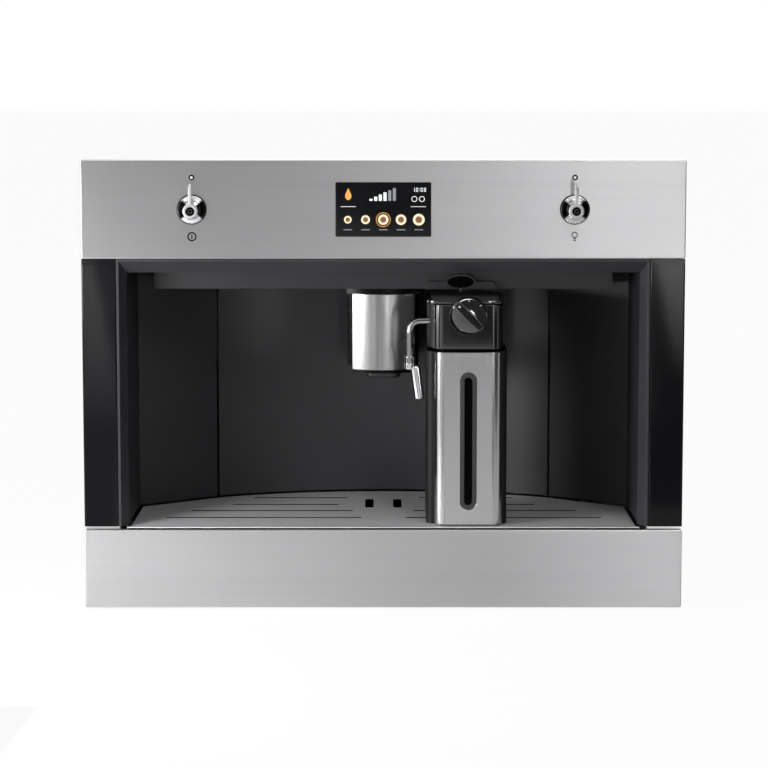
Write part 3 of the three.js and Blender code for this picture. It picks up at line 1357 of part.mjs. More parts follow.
function bayLamp(x) {
  const y = atDepth(HEADER_DEPTH + LAMP_SETBACK);
  const seat = HEADER_BOTTOM + HEADER_WALL + SEAT;
  const lens = rodZ(LAMP_RADIUS, x, y, HEADER_BOTTOM - LAMP_PROUD, seat + SEAT);
  const base = rodZ(LAMP_RADIUS + LAMP_FLANGE, x, y, seat, seat + LAMP_BODY);
  return join(lens, base);
}

// Steam block under the header, with the nozzle that plugs into the jug's lid.
function steamNozzle() {
  const [x, z] = [JUG_CENTRE, LID_TOP - DOCK_DROP];
  const back = JUG_BACK + STEAM_GAP;
  const half = DOCK_BLOCK / 2;
  const [y0, y1] = [atDepth(back), atDepth(back + STEAM_BLOCK_DEPTH)];
  const body = plan(roundedRect(x - half, x + half, y0, y1, STEAM_CORNER), z - half, HEADER_BOTTOM - SEAT);
  const nozzle = rodY(DOCK_RADIUS, x, z, y0 - DOCK_REACH, y0 + STEAM_CORNER);
  const bore = rodY(STEAM_BORE_RADIUS, x, z, y0 - DOCK_REACH - OVERCUT, y0 + STEAM_BORE_END, FACETS_SMALL);
  return cut(join(body, nozzle), bore);
}

// ---------------------------------------------------------------- coffee spout
// Plan of the convex cover: an arc across the front, straight sides running back.
function spoutPlan(half, frontDepth, backDepth) {
  const bulge = SPOUT_BULGE;
  const radius = (half * half + bulge * bulge) / (2 * bulge);
  const cy = atDepth(frontDepth) + radius;
  const start = Math.asin(half / radius);
  const outline = new THREE.Shape();
  outline.moveTo(half, atDepth(backDepth));
  outline.lineTo(-half, atDepth(backDepth));
  outline.absarc(0, cy, radius, -Math.PI / 2 - start, -Math.PI / 2 + start);
  outline.closePath();
  return outline;
}

function spoutCover() {
  const back = SPOUT_FRONT + SPOUT_COVER_DEPTH;
  const [s, c] = [SPOUT_COVER_SHEET, OVERCUT];
  const [z0, z1] = [SPOUT_COVER_BOTTOM, SPOUT_COVER_TOP - SEAT];
  const skin = plan(spoutPlan(SPOUT_HALF, SPOUT_FRONT, back), z0, z1, SPOUT_CURVE);
  const core = plan(spoutPlan(SPOUT_HALF - s, SPOUT_FRONT + s, back + c), z0 - c, z1 + c, SPOUT_CURVE);
  return cut(skin, core);
}

// Slot in the carriage that runs on the guide: a straight neck with two side grooves.
function guideSection(clearance) {
  const [half, lip] = [GUIDE_HALF + clearance, GUIDE_HALF + GUIDE_LIP + clearance];
  const y0 = atDepth(GUIDE_FRONT) - clearance;
  const y1 = y0 + GUIDE_LIP_DEPTH + 2 * clearance;
  const y2 = atDepth(GUIDE_BACK);
  return polygon([
    [-lip, y0],
    [lip, y0],
    [lip, y1],
    [half, y1],
    [half, y2],
    [-half, y2],
    [-half, y1],
    [-lip, y1],
  ]);
}

function spoutGuide() {
  const top = HEADER_BOTTOM - SEAT;
  return plan(guideSection(0), top - GUIDE_LENGTH, top);
}

function spoutCarriage() {
  const clear = SPOUT_COVER_SHEET + SEAT;
  const coverBack = SPOUT_FRONT + SPOUT_COVER_DEPTH;
  const core = spoutPlan(SPOUT_HALF - clear, SPOUT_FRONT + clear, coverBack + CARRIAGE_LAP);
  const chin = plan(core, SPOUT_CHIN_Z, SPOUT_COVER_TOP + OVERCUT, SPOUT_CURVE);
  const wide = SPOUT_HALF + SPOUT_SIDE;
  const [y0, y1] = [atDepth(coverBack + SEAT), atDepth(GUIDE_FRONT + CARRIAGE_WRAP)];
  const back = plan(roundedRect(-wide, wide, y0, y1, CARRIAGE_CORNER), SPOUT_COVER_BOTTOM, SPOUT_BAND_TOP);
  const bandPlan = spoutPlan(wide + BAND_SIDE, SPOUT_FRONT - BAND_PROUD, coverBack + BAND_LAP);
  const band = plan(bandPlan, SPOUT_COVER_TOP, SPOUT_BAND_TOP, SPOUT_CURVE);
  const groove = plan(guideSection(RUNNING_FIT), SPOUT_CHIN_Z - OVERCUT, SPOUT_BAND_TOP + OVERCUT);
  const hoseZ = SPOUT_COVER_BOTTOM + SPOUT_HOSE_START;
  const hose = rodZ(SPOUT_HOSE_RADIUS, 0, atDepth(HOSE_DEPTH), hoseZ, SPOUT_BAND_TOP + OVERCUT);
  return cut(join(chin, back, band), groove, hose, nozzlePlate(SEAT));
}

function nozzlePlate(clearance) {
  const y = atDepth(SPOUT_FRONT + NOZZLE_SETBACK);
  const [hx, hy] = [NOZZLE_HALF + clearance, NOZZLE_DEPTH / 2 + clearance];
  const outline = roundedRect(-hx, hx, y - hy, y + hy, NOZZLE_CORNER);
  return plan(outline, SPOUT_CHIN_Z - OVERCUT, SPOUT_CHIN_Z + NOZZLE_SEAT + clearance);
}

// Twin outlet under the spout.
function spoutNozzles() {
  const y = atDepth(SPOUT_FRONT + NOZZLE_SETBACK);
  const [hx, hy] = [NOZZLE_HALF, NOZZLE_DEPTH / 2];
  const [z0, z1, r] = [SPOUT_CHIN_Z - NOZZLE_DROP, SPOUT_CHIN_Z, NOZZLE_ROUND];
  const skirt = loft([
    ring(0, y, z0, hx - r, hy - r, NOZZLE_POWER),
    ring(0, y, z0 + r, hx, hy, NOZZLE_POWER),
    ring(0, y, z1 - SEAT, hx, hy, NOZZLE_POWER),
  ]);
  const outlets = SIDES.map(([, sign]) => {
    const x = (sign * OUTLET_SPACING) / 2;
    return rodZ(OUTLET_RADIUS, x, y, z0 - OVERCUT, z1 + OUTLET_TOP, FACETS_SMALL);
  });
  return cut(join(nozzlePlate(0), skirt), ...outlets);
}

// ---------------------------------------------------------------- milk jug
function jugRect(width, front0, back0, radius, offset = 0) {
  const [x, half] = [JUG_CENTRE - offset, width / 2];
  return roundedRect(x - half, x + half, atDepth(front0), atDepth(back0), radius);
}

function jugSlot(clearance, y0, y1) {
  const half = SLOT_WIDTH / 2 + clearance;
  const z0 = JUG_BOTTOM + SLOT_LIFT - clearance;
  const z1 = JUG_BOTTOM + SLOT_LIFT + SLOT_HEIGHT + clearance;
  const outline = roundedRect(JUG_CENTRE - half, JUG_CENTRE + half, z0, z1, half - NEARLY_ROUND);
  return front(outline, y0, y1);
}

function jugCover() {
  const [s, c] = [JUG_COVER_SHEET, OVERCUT];
  const back = JUG_FRONT + JUG_COVER_DEPTH;
  const tailBack = back + JUG_COVER_TAIL;
  const skin = plan(jugRect(JUG_COVER_WIDTH, JUG_FRONT, tailBack, JUG_CORNER), JUG_BOTTOM, JUG_TOP);
  const inner = jugRect(JUG_COVER_WIDTH - 2 * s, JUG_FRONT + s, tailBack - s, JUG_CORNER - s);
  const [x0, x1] = [JUG_CENTRE - JUG_COVER_WIDTH, JUG_CENTRE + JUG_COVER_WIDTH];
  return cut(
    skin,
    plan(inner, JUG_BOTTOM - c, JUG_TOP + c),
    block(x0, x1, atDepth(back), atDepth(tailBack + c), JUG_BOTTOM - c, JUG_TOP + c),
    jugSlot(0, atDepth(JUG_FRONT - c), atDepth(JUG_FRONT + s + c)),
  );
}

function jugWindow() {
  const y = atDepth(JUG_FRONT);
  const frame = jugSlot(-SEAT, y + WINDOW_SETBACK, y + WINDOW_DEPTH);
  const half = PANE_WIDTH / 2;
  const [z0, z1] = [JUG_BOTTOM + PANE_LIFT, JUG_BOTTOM + PANE_LIFT + PANE_HEIGHT];
  const pane = roundedRect(JUG_CENTRE - half, JUG_CENTRE + half, z0, z1, half - NEARLY_ROUND);
  return cut(frame, front(pane, y - OVERCUT, y + PANE_DEPTH));
}

function jugInterior(z0, z1, inset) {
  const clear = JUG_COVER_SHEET + SEAT;
  const frontDepth = JUG_FRONT + clear + inset + JUG_NECK_GAP;
  const neckBack = JUG_BODY_FRONT + JUG_NECK_LAP;
  const corner = JUG_INNER_CORNER - inset;
  const neck = jugRect(JUG_COVER_WIDTH - 2 * (clear + inset), frontDepth, neckBack, corner);
  const [bodyFront, bodyBack] = [JUG_BODY_FRONT + inset, JUG_BACK - inset];
  const body = jugRect(JUG_BODY_WIDTH - 2 * inset, bodyFront, bodyBack, corner, JUG_BODY_OFFSET);
  return join(plan(neck, z0, z1), plan(body, z0, z1));
}

// Milk vessel: a narrow front inside the steel cover and a wider back.
function jugBody() {
  const outer = jugInterior(JUG_BOTTOM, JUG_TOP, 0);
  const inner = jugInterior(JUG_BOTTOM + JUG_WALL, JUG_TOP + OVERCUT, JUG_WALL);
  return cut(outer, inner);
}

// Lid: a wide rear block, a narrower face with the knob's seat, a roof over both, the steam socket behind.
function jugLid() {
  const [half, x, back] = [LID_WIDTH / 2, JUG_CENTRE - LID_OFFSET, JUG_BACK];
  const y = atDepth((LID_FRONT + back) / 2);
  const halfY = (back - LID_FRONT) / 2;
  const wallFront = LID_FRONT + LID_FACE_DEPTH;
  const wallBack = back - LID_BACK_SETBACK;
  const [wall, wallY, top] = [half - LID_SETBACK, (wallBack - wallFront) / 2, LID_TOP - LID_ROOF];
  const rear = loft([
    ring(x, atDepth((wallFront + wallBack) / 2), LID_BOTTOM, wall, wallY, LID_POWER),
    ring(x, atDepth((wallFront + wallBack) / 2), top + LID_SHOULDER, wall, wallY, LID_POWER),
  ]);
  const [faceX, faceHalf] = [JUG_CENTRE - LID_FACE_OFFSET, LID_FACE_WIDTH / 2];
  const faceY = atDepth(LID_FRONT + LID_FACE_SETBACK);
  const faceBackY = atDepth(wallFront + 2 * LID_FACE_CORNER);
  const face = roundedRect(faceX - faceHalf, faceX + faceHalf, faceY, faceBackY, LID_FACE_CORNER);
  const roof = loft([
    ring(x, y, top, half - LID_SHOULDER, halfY - LID_SHOULDER, LID_POWER),
    ring(x, y, top + LID_SHOULDER, half, halfY, LID_POWER),
    ring(x, y, LID_TOP - LID_ROUND, half, halfY, LID_POWER),
    ring(x, y, LID_TOP, half - LID_ROUND, halfY - LID_ROUND, LID_POWER),
  ]);
  const [seatY0, seatY1] = [atDepth(LID_FRONT), atDepth(wallFront)];
  const seat = rodY(KNOB_SEAT_RADIUS, JUG_CENTRE, LID_TOP - KNOB_DROP, seatY0, seatY1);
  const shell = join(rear, roof, plan(face, LID_BOTTOM, top + LID_SHOULDER), seat);
  const [low, c] = [JUG_TOP - LID_SKIRT, OVERCUT];
  const skirt = jugInterior(low, LID_BOTTOM + c, JUG_WALL + SEAT);
  const hollow = jugInterior(low - c, LID_BOTTOM - c, JUG_WALL + LID_LIP);
  const bore = KNOB_SHAFT_RADIUS + RUNNING_FIT;
  const [boreY0, boreY1] = [atDepth(LID_FRONT - c), atDepth(LID_FRONT + KNOB_BORE_END)];
  const knobBore = rodY(bore, JUG_CENTRE, LID_TOP - KNOB_DROP, boreY0, boreY1);
  const dockY = atDepth(back + STEAM_GAP - DOCK_REACH - SEAT);
  const dock = rodY(DOCK_RADIUS + RUNNING_FIT, JUG_CENTRE, LID_TOP - DOCK_DROP, dockY, atDepth(back + c));
  const portAt = (reach) => new THREE.Vector3(x - half + reach, atDepth(TUBE_DEPTH), LID_TOP - TUBE_DROP);
  const port = rod(TUBE_RADIUS + RUNNING_FIT, portAt(-c), portAt(TUBE_PORT));
  return cut(join(shell, cut(skirt, hollow)), knobBore, dock, port);
}

// Froth selector: a ribbed disc with a diagonal grip bar and a shaft into the lid.
function frothKnob() {
  const [r, d] = [KNOB_RADIUS, KNOB_DEPTH];
  const geometry = turned([
    [0, 0],
    [r - KNOB_ROUND / 2, 0],
    [r, KNOB_ROUND],
    [r, d - 2 * KNOB_ROUND],
    [r - KNOB_ROUND, d - KNOB_ROUND],
    [r - KNOB_RIM, d],
    [0, d],
  ]);
  geometry.rotateX(Math.PI);
  const [y, z] = [atDepth(LID_FRONT) - SEAT, LID_TOP - KNOB_DROP];
  geometry.translate(JUG_CENTRE, y, z);
  const grip = new THREE.Shape();
  const [long, wide] = [r - KNOB_GRIP_INSET, KNOB_GRIP_WIDTH / 2];
  const [end, bulge] = [wide * KNOB_GRIP_END, wide * KNOB_GRIP_BULGE];
  grip.moveTo(-long, -end);
  grip.quadraticCurveTo(0, -bulge, long, -end);
  grip.lineTo(long, end);
  grip.quadraticCurveTo(0, bulge, -long, end);
  grip.closePath();
  const bar = extruded(grip, KNOB_GRIP_HEIGHT + OVERCUT);
  bar.rotateZ(-Math.PI / 4);
  bar.rotateX(Math.PI / 2);
  bar.translate(JUG_CENTRE, y - d + OVERCUT, z);
  const shaft = rodY(KNOB_SHAFT_RADIUS, JUG_CENTRE, z, y - OVERCUT, atDepth(LID_FRONT + KNOB_SHAFT_END));
  return join(solid(geometry), solid(bar), shaft);
}

// The milk tube's level part (Y, Z) and the X of its hanging leg.
function tubePlace() {
  const leg = JUG_CENTRE - LID_OFFSET - LID_WIDTH / 2 - TUBE_REACH;
  return { leg, y: atDepth(TUBE_DEPTH), z: LID_TOP - TUBE_DROP };
}

// Chrome tube from the lid's side: out, round a bend, and down.
function milkTube() {
  const { leg, y, z } = tubePlace();
  const at = (x, height) => new THREE.Vector3(x, y, height);
  const foot = z - TUBE_HANG;
  const bendStart = at(leg + TUBE_BEND, z);
  const bendEnd = at(leg, z - TUBE_BEND);
  const path = new THREE.CurvePath();
  path.add(new THREE.LineCurve3(at(leg + TUBE_REACH + TUBE_PLUG, z), bendStart));
  path.add(new THREE.QuadraticBezierCurve3(bendStart, at(leg, z), bendEnd));
  path.add(new THREE.LineCurve3(bendEnd, at(leg, foot)));
  const section = new THREE.Shape();
  section.absarc(0, 0, TUBE_RADIUS, 0, 2 * Math.PI);
  const options = { steps: TUBE_STEPS, curveSegments: TUBE_CURVE, extrudePath: path };
  const tube = new THREE.ExtrudeGeometry(section, options);
  const collar = rodZ(TUBE_RADIUS + TUBE_COLLAR_WALL, leg, y, foot - TUBE_COLLAR_LAP, foot + TUBE_COLLAR);
  return join(solid(tube), collar);
}

// Steel outlet under the tube, leaning a little towards the cup.
function milkNozzle() {
  const { leg, y, z: tubeZ } = tubePlace();
  const z = tubeZ - TUBE_HANG - TUBE_COLLAR_LAP - SEAT;
  const head = rodZ(TUBE_RADIUS + TUBE_COLLAR_WALL, leg, y, z - MILK_HEAD, z);
  const lean = THREE.MathUtils.degToRad(MILK_NOZZLE_LEAN);
  const top = new THREE.Vector3(leg + MILK_NOZZLE_OFFSET, y, z - MILK_HEAD / 2);
  const along = new THREE.Vector3(Math.sin(lean), 0, -Math.cos(lean)).multiplyScalar(MILK_NOZZLE_LENGTH);
  const foot = along.clone().add(top);
  const barrel = rod(MILK_NOZZLE_RADIUS, top, foot);
  const inside = new THREE.Vector3().lerpVectors(foot, top, MILK_BORE_SHARE);
  const past = new THREE.Vector3().lerpVectors(top, foot, MILK_BORE_PAST);
  return cut(join(head, barrel), rod(MILK_NOZZLE_RADIUS - MILK_NOZZLE_WALL, inside, past));
}

// ---------------------------------------------------------------- drip drawer
function cupGrille() {
  const outline = bayOutline(GRILLE_MARGIN, GRILLE_FRONT);
  const [rowHalf, drainHalf] = [GRILLE_SLOT_WIDTH / 2, DRAIN_WIDTH / 2];
  for (const [, sign] of SIDES) {
    GRILLE_SLOT_ROWS.forEach((row, i) => {
      const [a, b] = [sign * GRILLE_SLOT_GAPS[i], sign * (HALF_BAY - GRILLE_SLOT_INSETS[i])];
      const y = atDepth(row);
      outline.holes.push(slotPath(Math.min(a, b), Math.max(a, b), y - rowHalf, y + rowHalf));
    });
    const [x0, x1] = [sign * DRAIN_OFFSET - drainHalf, sign * DRAIN_OFFSET + drainHalf];
    const [y0, y1] = [atDepth(DRAIN_FRONT), atDepth(DRAIN_BACK)];
    outline.holes.push(roundedRect(x0, x1, y0, y1, drainHalf - NEARLY_ROUND, THREE.Path));
  }
  const plate = plan(outline, GRILLE_BOTTOM, GRILLE_TOP);
  const half = LINER_FRONT_HALF - LINER_EASE;
  const [hemY0, hemY1] = [atDepth(HEM_SETBACK), atDepth(HEM_SETBACK + HEM_DEPTH)];
  const hem = block(-half, half, hemY0, hemY1, LOWER_TOP + SEAT, BAY_BOTTOM - HEM_DROP);
  const bridgeY = [hemY0 + HEM_BRIDGE_DROP, hemY1 + HEM_DEPTH];
  const bridge = block(-half, half, ...bridgeY, GRILLE_BOTTOM, GRILLE_TOP - HEM_BRIDGE_DROP);
  const [grooveY0, grooveZ] = [atDepth(GROOVE_START), GRILLE_TOP - GROOVE_SINK];
  const grooveX = HALF_BAY + OVERCUT;
  const groove = block(-grooveX, grooveX, grooveY0, grooveY0 + GROOVE_WIDTH, grooveZ, GRILLE_TOP + OVERCUT);
  return cut(join(plate, hem, bridge), groove);
}

// Basin under the grille, with a tongue at the back that holds the grounds bin.
function dripTray() {
  const inset = GRILLE_MARGIN + TRAY_INSET;
  const frontDepth = FASCIA_DEPTH + SEAT;
  const outer = plan(bayOutline(inset, frontDepth), TRAY_BOTTOM, TRAY_TOP);
  const w = TRAY_WALL;
  const inner = plan(bayOutline(inset + w, frontDepth + w), TRAY_BOTTOM + w, TRAY_TOP + OVERCUT);
  const [hx, y0, y1] = binRange();
  const half = hx + TONGUE_BORDER;
  const start = atDepth(DOOR_CENTRE_DEPTH - inset);
  const [z0, z1] = [TONGUE_TOP - TONGUE_SHEET, TONGUE_TOP];
  const sheetPlan = roundedRect(-half, half, start - TONGUE_LAP, y1 + TONGUE_BORDER, TONGUE_CORNER);
  const arms = block(-half, half, start - TONGUE_LAP - TONGUE_ARM_FRONT, start + TONGUE_LAP, z0, z1);
  const hole = block(-hx - SEAT, hx + SEAT, y0 - SEAT, y1 + SEAT, TRAY_BOTTOM - OVERCUT, TRAY_TOP);
  const trimmed = cut(join(plan(sheetPlan, z0, z1), arms), inner, hole);
  return join(cut(outer, inner), trimmed);
}

// Half width and the two Y limits of the bin's body.
function binRange() {
  const y0 = atDepth(DOOR_CENTRE_DEPTH) + BIN_START;
  return [BIN_WIDTH / 2, y0, WORKS_BACK_Y - BIN_REAR_GAP];
}

function groundsBin() {
  const [hx, y0, y1] = binRange();
  const [y, hy] = [(y0 + y1) / 2, (y1 - y0) / 2];
  const [z0, z1] = [TONGUE_TOP + SEAT + TONGUE_SHEET - BIN_HEIGHT, TONGUE_TOP + SEAT];
  const [w, t, b, p] = [BIN_WALL, BIN_TAPER, BIN_RIM, BIN_POWER];
  const top = z1 + BIN_RIM_HEIGHT;
  const rim = plan(roundedRect(-hx - b, hx + b, y0 - b, y1 + b, BIN_CORNER), z1, top);
  const outer = loft([ring(0, y, z0, hx - t, hy - t, p), ring(0, y, top, hx - SEAT, hy - SEAT, p)]);
  const inner = loft([
    ring(0, y, z0 + w, hx - t - w, hy - t - w, p),
    ring(0, y, top + OVERCUT, hx - w, hy - w, p),
  ]);
  return cut(join(outer, rim), inner);
}

// ---------------------------------------------------------------- works
// Brewing group: two side plates, a base, a crown and the round brewing chamber.
function brewUnit() {
  const [hx, z0, z1] = [BREW_WIDTH / 2, BREW_LIFT, BREW_TOP];
  const [y0, y1] = [BREW_Y - BREW_DEPTH / 2, BREW_Y + BREW_DEPTH / 2];
  const cheek = side(roundedRect(y0 + CHEEK_SETBACK, y1, z0, z1, CHEEK_CORNER), hx - CHEEK_SHEET, hx);
  const across = hx - BREW_LAP;
  const [plateY0, plateY1] = [y0 + BREW_PLATE_FRONT, y1 - BREW_PLATE_BACK];
  const baseZ = z0 + BREW_BASE_LIFT;
  const base = block(-across, across, plateY0, plateY1, baseZ, baseZ + BREW_BASE);
  const crown = block(-across, across, plateY0, plateY1, z1 - BREW_CROWN, z1);
  const [chamberZ0, chamberZ1] = [z0 + CHAMBER_LIFT, z1 - CHAMBER_DROP];
  const chamber = rodZ(CHAMBER_RADIUS, 0, BREW_Y, chamberZ0, chamberZ1);
  const piston = rodZ(CHAMBER_RADIUS - PISTON_WALL, 0, BREW_Y, chamberZ1 - BREW_LAP, z1 - PISTON_DROP);
  const screw = rodZ(SCREW_RADIUS, 0, BREW_Y, baseZ + BREW_LAP, chamberZ0 + BREW_LAP);
  const [bridgeY0, bridgeY1] = [BREW_Y - BREW_BRIDGE_HALF, BREW_Y + BREW_BRIDGE_HALF];
  const bridgeZ = z0 + BREW_BRIDGE_LIFT;
  const bridge = block(-across, across, bridgeY0, bridgeY1, bridgeZ, bridgeZ + BREW_BRIDGE_HEIGHT);
  return join(cheek, mirrored(cheek), base, crown, chamber, piston, screw, bridge);
}

function grinder() {
  const [r, h, t] = [GRINDER_RADIUS, GRINDER_HEIGHT, THROAT_RADIUS];
  const [waistTop, bodyBottom, bodyTop, neckBottom] = GRINDER_PROFILE.map((share) => share * h);
  const geometry = turned([
    [0, 0],
    [r - GRINDER_WAIST, 0],
    [r - GRINDER_WAIST, waistTop],
    [r, bodyBottom],
    [r, bodyTop],
    [t + GRINDER_NECK, neckBottom],
    [t + GRINDER_NECK, h],
    [t - GRINDER_THROAT_WALL, h],
    [t - GRINDER_THROAT_WALL, h - GRINDER_THROAT_DEPTH],
    [0, h - GRINDER_THROAT_DEPTH - GRINDER_THROAT_CONE],
  ]);
  geometry.rotateX(Math.PI / 2);
  geometry.translate(0, BREW_Y, GRINDER_BOTTOM);
  const [y0, y1] = [BREW_Y - r - CHUTE_REACH, BREW_Y - r + CHUTE_HALF];
  const chute = block(-CHUTE_HALF, CHUTE_HALF, y0, y1, GRINDER_BOTTOM, GRINDER_BOTTOM + h * CHUTE_SHARE);
  return join(solid(geometry), chute);
}

// Funnel from the rectangular mouth in the top cover to the grinder's round throat.
function beanHopper() {
  const [hx, hy, w, p] = [HOPPER_WIDTH / 2, HOPPER_LENGTH / 2, HOPPER_WALL, HOPPER_POWER];
  const [neck, bore] = [THROAT_RADIUS + HOPPER_NECK_WALL, THROAT_RADIUS - HOPPER_NECK_BORE];
  const [neckTop, shoulder] = [HOPPER_BOTTOM + HOPPER_NECK, HOPPER_BOTTOM + HOPPER_SHOULDER];
  const outer = loft([
    ring(0, BREW_Y, HOPPER_BOTTOM, neck, neck, 2),
    ring(0, BREW_Y, neckTop, neck, neck, 2),
    ring(0, BREW_Y, shoulder, hx, hy, p),
    ring(0, BREW_Y, BODY_TOP, hx, hy, p),
  ]);
  const inner = loft([
    ring(0, BREW_Y, HOPPER_BOTTOM - OVERCUT, bore, bore, 2),
    ring(0, BREW_Y, neckTop, bore, bore, 2),
    ring(0, BREW_Y, shoulder + w / 2, hx - w, hy - w, p),
    ring(0, BREW_Y, BODY_TOP + OVERCUT, hx - w, hy - w, p),
  ]);
  return cut(outer, inner);
}

function hopperLid() {
  const [hx, hy] = [HOPPER_WIDTH / 2 + HOPPER_LID_BORDER, HOPPER_LENGTH / 2 + HOPPER_LID_BORDER];
  const [z, top, y0] = [BODY_TOP + SEAT, BODY_TOP + SEAT + HOPPER_LID_SHEET, BREW_Y - hy];
  const leaf = plan(roundedRect(-hx, hx, y0, BREW_Y + hy, HOPPER_CORNER), z, top);
  const [grip, gripY, c] = [HOPPER_GRIP_HALF, y0 + HOPPER_GRIP_DEPTH, OVERCUT];
  const recess = block(-grip, grip, y0 - c, gripY, z + HOPPER_GRIP_SHEET, top + c);
  const hinge = hopperHinge();
  const notchX = [HINGE_HALF, HINGE_HALF + HINGE_EAR + 2 * SEAT];
  const notch = block(...notchX, hinge.y - HINGE_NOTCH, hinge.y + OVERCUT, z - OVERCUT, top + OVERCUT);
  const pinEnd = HINGE_HALF + HINGE_EAR - OVERCUT - SEAT;
  const across = (x) => new THREE.Vector3(x, hinge.y, hinge.z);
  const barrel = rod(HOPPER_LID_SHEET / 2, across(-HINGE_HALF), across(HINGE_HALF), FACETS_SMALL);
  const pin = rod(HINGE_PIN_RADIUS, across(-pinEnd), across(pinEnd), FACETS_SMALL);
  return join(cut(leaf, recess, notch, mirrored(notch)), barrel, pin);
}

// Boiler with cooling fins, screwed to the rear wall by its back plate.
function boiler() {
  const [r, h, pitch] = [BOILER_RADIUS, BOILER_HEIGHT, (BOILER_HEIGHT - 2 * BOILER_FIN_START) / BOILER_FINS];
  const [groove, end] = [r - BOILER_GROOVE, r - BOILER_END];
  const profile = [
    [0, 0],
    [end, 0],
    [groove, BOILER_ROUND],
  ];
  for (let i = 0; i < BOILER_FINS; i += 1) {
    const z = BOILER_FIN_START + i * pitch;
    profile.push([groove, z], [r, z], [r, z + pitch / 2], [groove, z + pitch / 2]);
  }
  profile.push([groove, h - BOILER_ROUND], [end, h], [0, h]);
  const geometry = turned(profile, FACETS_MEDIUM);
  geometry.rotateX(Math.PI / 2);
  const y = WORKS_BACK_Y - BOILER_RADIUS - BOILER_STANDOFF;
  geometry.translate(BOILER_X, y, BOILER_LIFT);
  const [x0, x1] = [BOILER_X - BOILER_PLATE_HALF, BOILER_X + BOILER_PLATE_HALF];
  const [z0, z1] = [BOILER_LIFT + BOILER_PLATE_INSET, BOILER_LIFT + h - BOILER_PLATE_INSET];
  const plate = block(x0, x1, y, WORKS_BACK_Y, z0, z1);
  const unionZ = BOILER_LIFT + h;
  const union = rodZ(UNION_RADIUS, BOILER_X, y, unionZ - OVERCUT, unionZ + UNION_LENGTH, FACETS_SMALL);
  return join(solid(geometry), plate, union);
}

// Vibration pump lying in a cradle of two feet on the base pan.
function pump() {
  const z = PAN_TOP + SEAT + PUMP_RADIUS + PUMP_LIFT;
  const y = (atDepth(DOOR_CENTRE_DEPTH) + WORKS_BACK_Y - PUMP_LENGTH) / 2 - PUMP_FORWARD;
  const body = rodY(PUMP_RADIUS, PUMP_X, z, y, y + PUMP_LENGTH);
  const [neckY0, neckY1] = [y - PUMP_NECK, y + PUMP_LENGTH + PUMP_NECK];
  const necks = rodY(PUMP_NECK_RADIUS, PUMP_X, z, neckY0, neckY1, FACETS_SMALL);
  const feet = PUMP_FOOT_SHARES.map((share) => {
    const foot = y + share * PUMP_LENGTH;
    const [x0, x1] = [PUMP_X - PUMP_FOOT_HALF, PUMP_X + PUMP_FOOT_HALF];
    return block(x0, x1, foot, foot + PUMP_FOOT, PAN_TOP + SEAT, z);
  });
  return join(body, necks, ...feet);
}

// Power board on four posts against the right side wall.
function powerBoard() {
  const wall = WALL_INSIDE - SEAT;
  const face = wall - POWER_BOARD_STANDOFF;
  const left = face - BOARD_SHEET;
  const [y0, z0, inset] = [POWER_BOARD_SETBACK, POWER_BOARD_LIFT, POST_INSET];
  const along = (share) => y0 + share * POWER_BOARD_LENGTH;
  const up = (share) => z0 + share * POWER_BOARD_HEIGHT;
  const [y1, z1] = [along(1), up(1)];
  const board = side(roundedRect(y0, y1, z0, z1, SHEET_CORNER), left, face);
  const posts = [y0 + inset, y1 - inset].flatMap((y) =>
    [z0 + inset, z1 - inset].map((z) => {
      const ends = [face - BOARD_LAP, wall].map((x) => new THREE.Vector3(x, y, z));
      return rod(POST_RADIUS, ...ends, FACETS_SMALL);
    }),
  );
  const parts = POWER_PARTS.map(([height, near, far, low, high]) =>
    block(left - height, left + BOARD_LAP, along(near), along(far), up(low), up(high)),
  );
  const [canY, canZ] = [along(CAPACITOR_SHARES[0]), up(CAPACITOR_SHARES[1])];
  const canEnds = [left - CAPACITOR_LENGTH, left + BOARD_LAP];
  const [tip, root] = canEnds.map((x) => new THREE.Vector3(x, canY, canZ));
  return join(board, ...posts, ...parts, rod(CAPACITOR_RADIUS, tip, root));
}

// Mains inlet in the rear wall: a flanged socket with three flat pins inside.
function powerInlet() {
  const [hx, hz] = [INLET_WIDTH / 2, INLET_HEIGHT / 2];
  const around = (growX, growZ, corner) =>
    roundedRect(
      INLET_X - hx - growX,
      INLET_X + hx + growX,
      INLET_Z - hz - growZ,
      INLET_Z + hz + growZ,
      corner,
    );
  const face = BACK_Y + SEAT;
  const inner = face - INLET_DEPTH;
  const flangeOutline = around(INLET_FLANGE_SIDE, INLET_FLANGE_END, INLET_FLANGE_CORNER);
  const flange = front(flangeOutline, face, face + INLET_FLANGE_SHEET);
  const box = front(around(0, 0, INLET_CORNER), inner, face + OVERCUT);
  const mouthOutline = around(-INLET_WALL, -INLET_WALL, INLET_CORNER);
  const mouth = front(mouthOutline, inner + INLET_FLOOR, face + INLET_FLANGE_SHEET + OVERCUT);
  const pins = PIN_PLACES.map(([x, z]) => {
    const [px, pz] = [INLET_X + x, INLET_Z + z];
    const [t, w] = [PIN_HALF_THICKNESS, PIN_HALF_WIDTH];
    return block(px - t, px + t, inner + INLET_FLOOR - OVERCUT, face - PIN_SETBACK, pz - w, pz + w);
  });
  return join(cut(join(flange, box), mouth), ...pins);
}

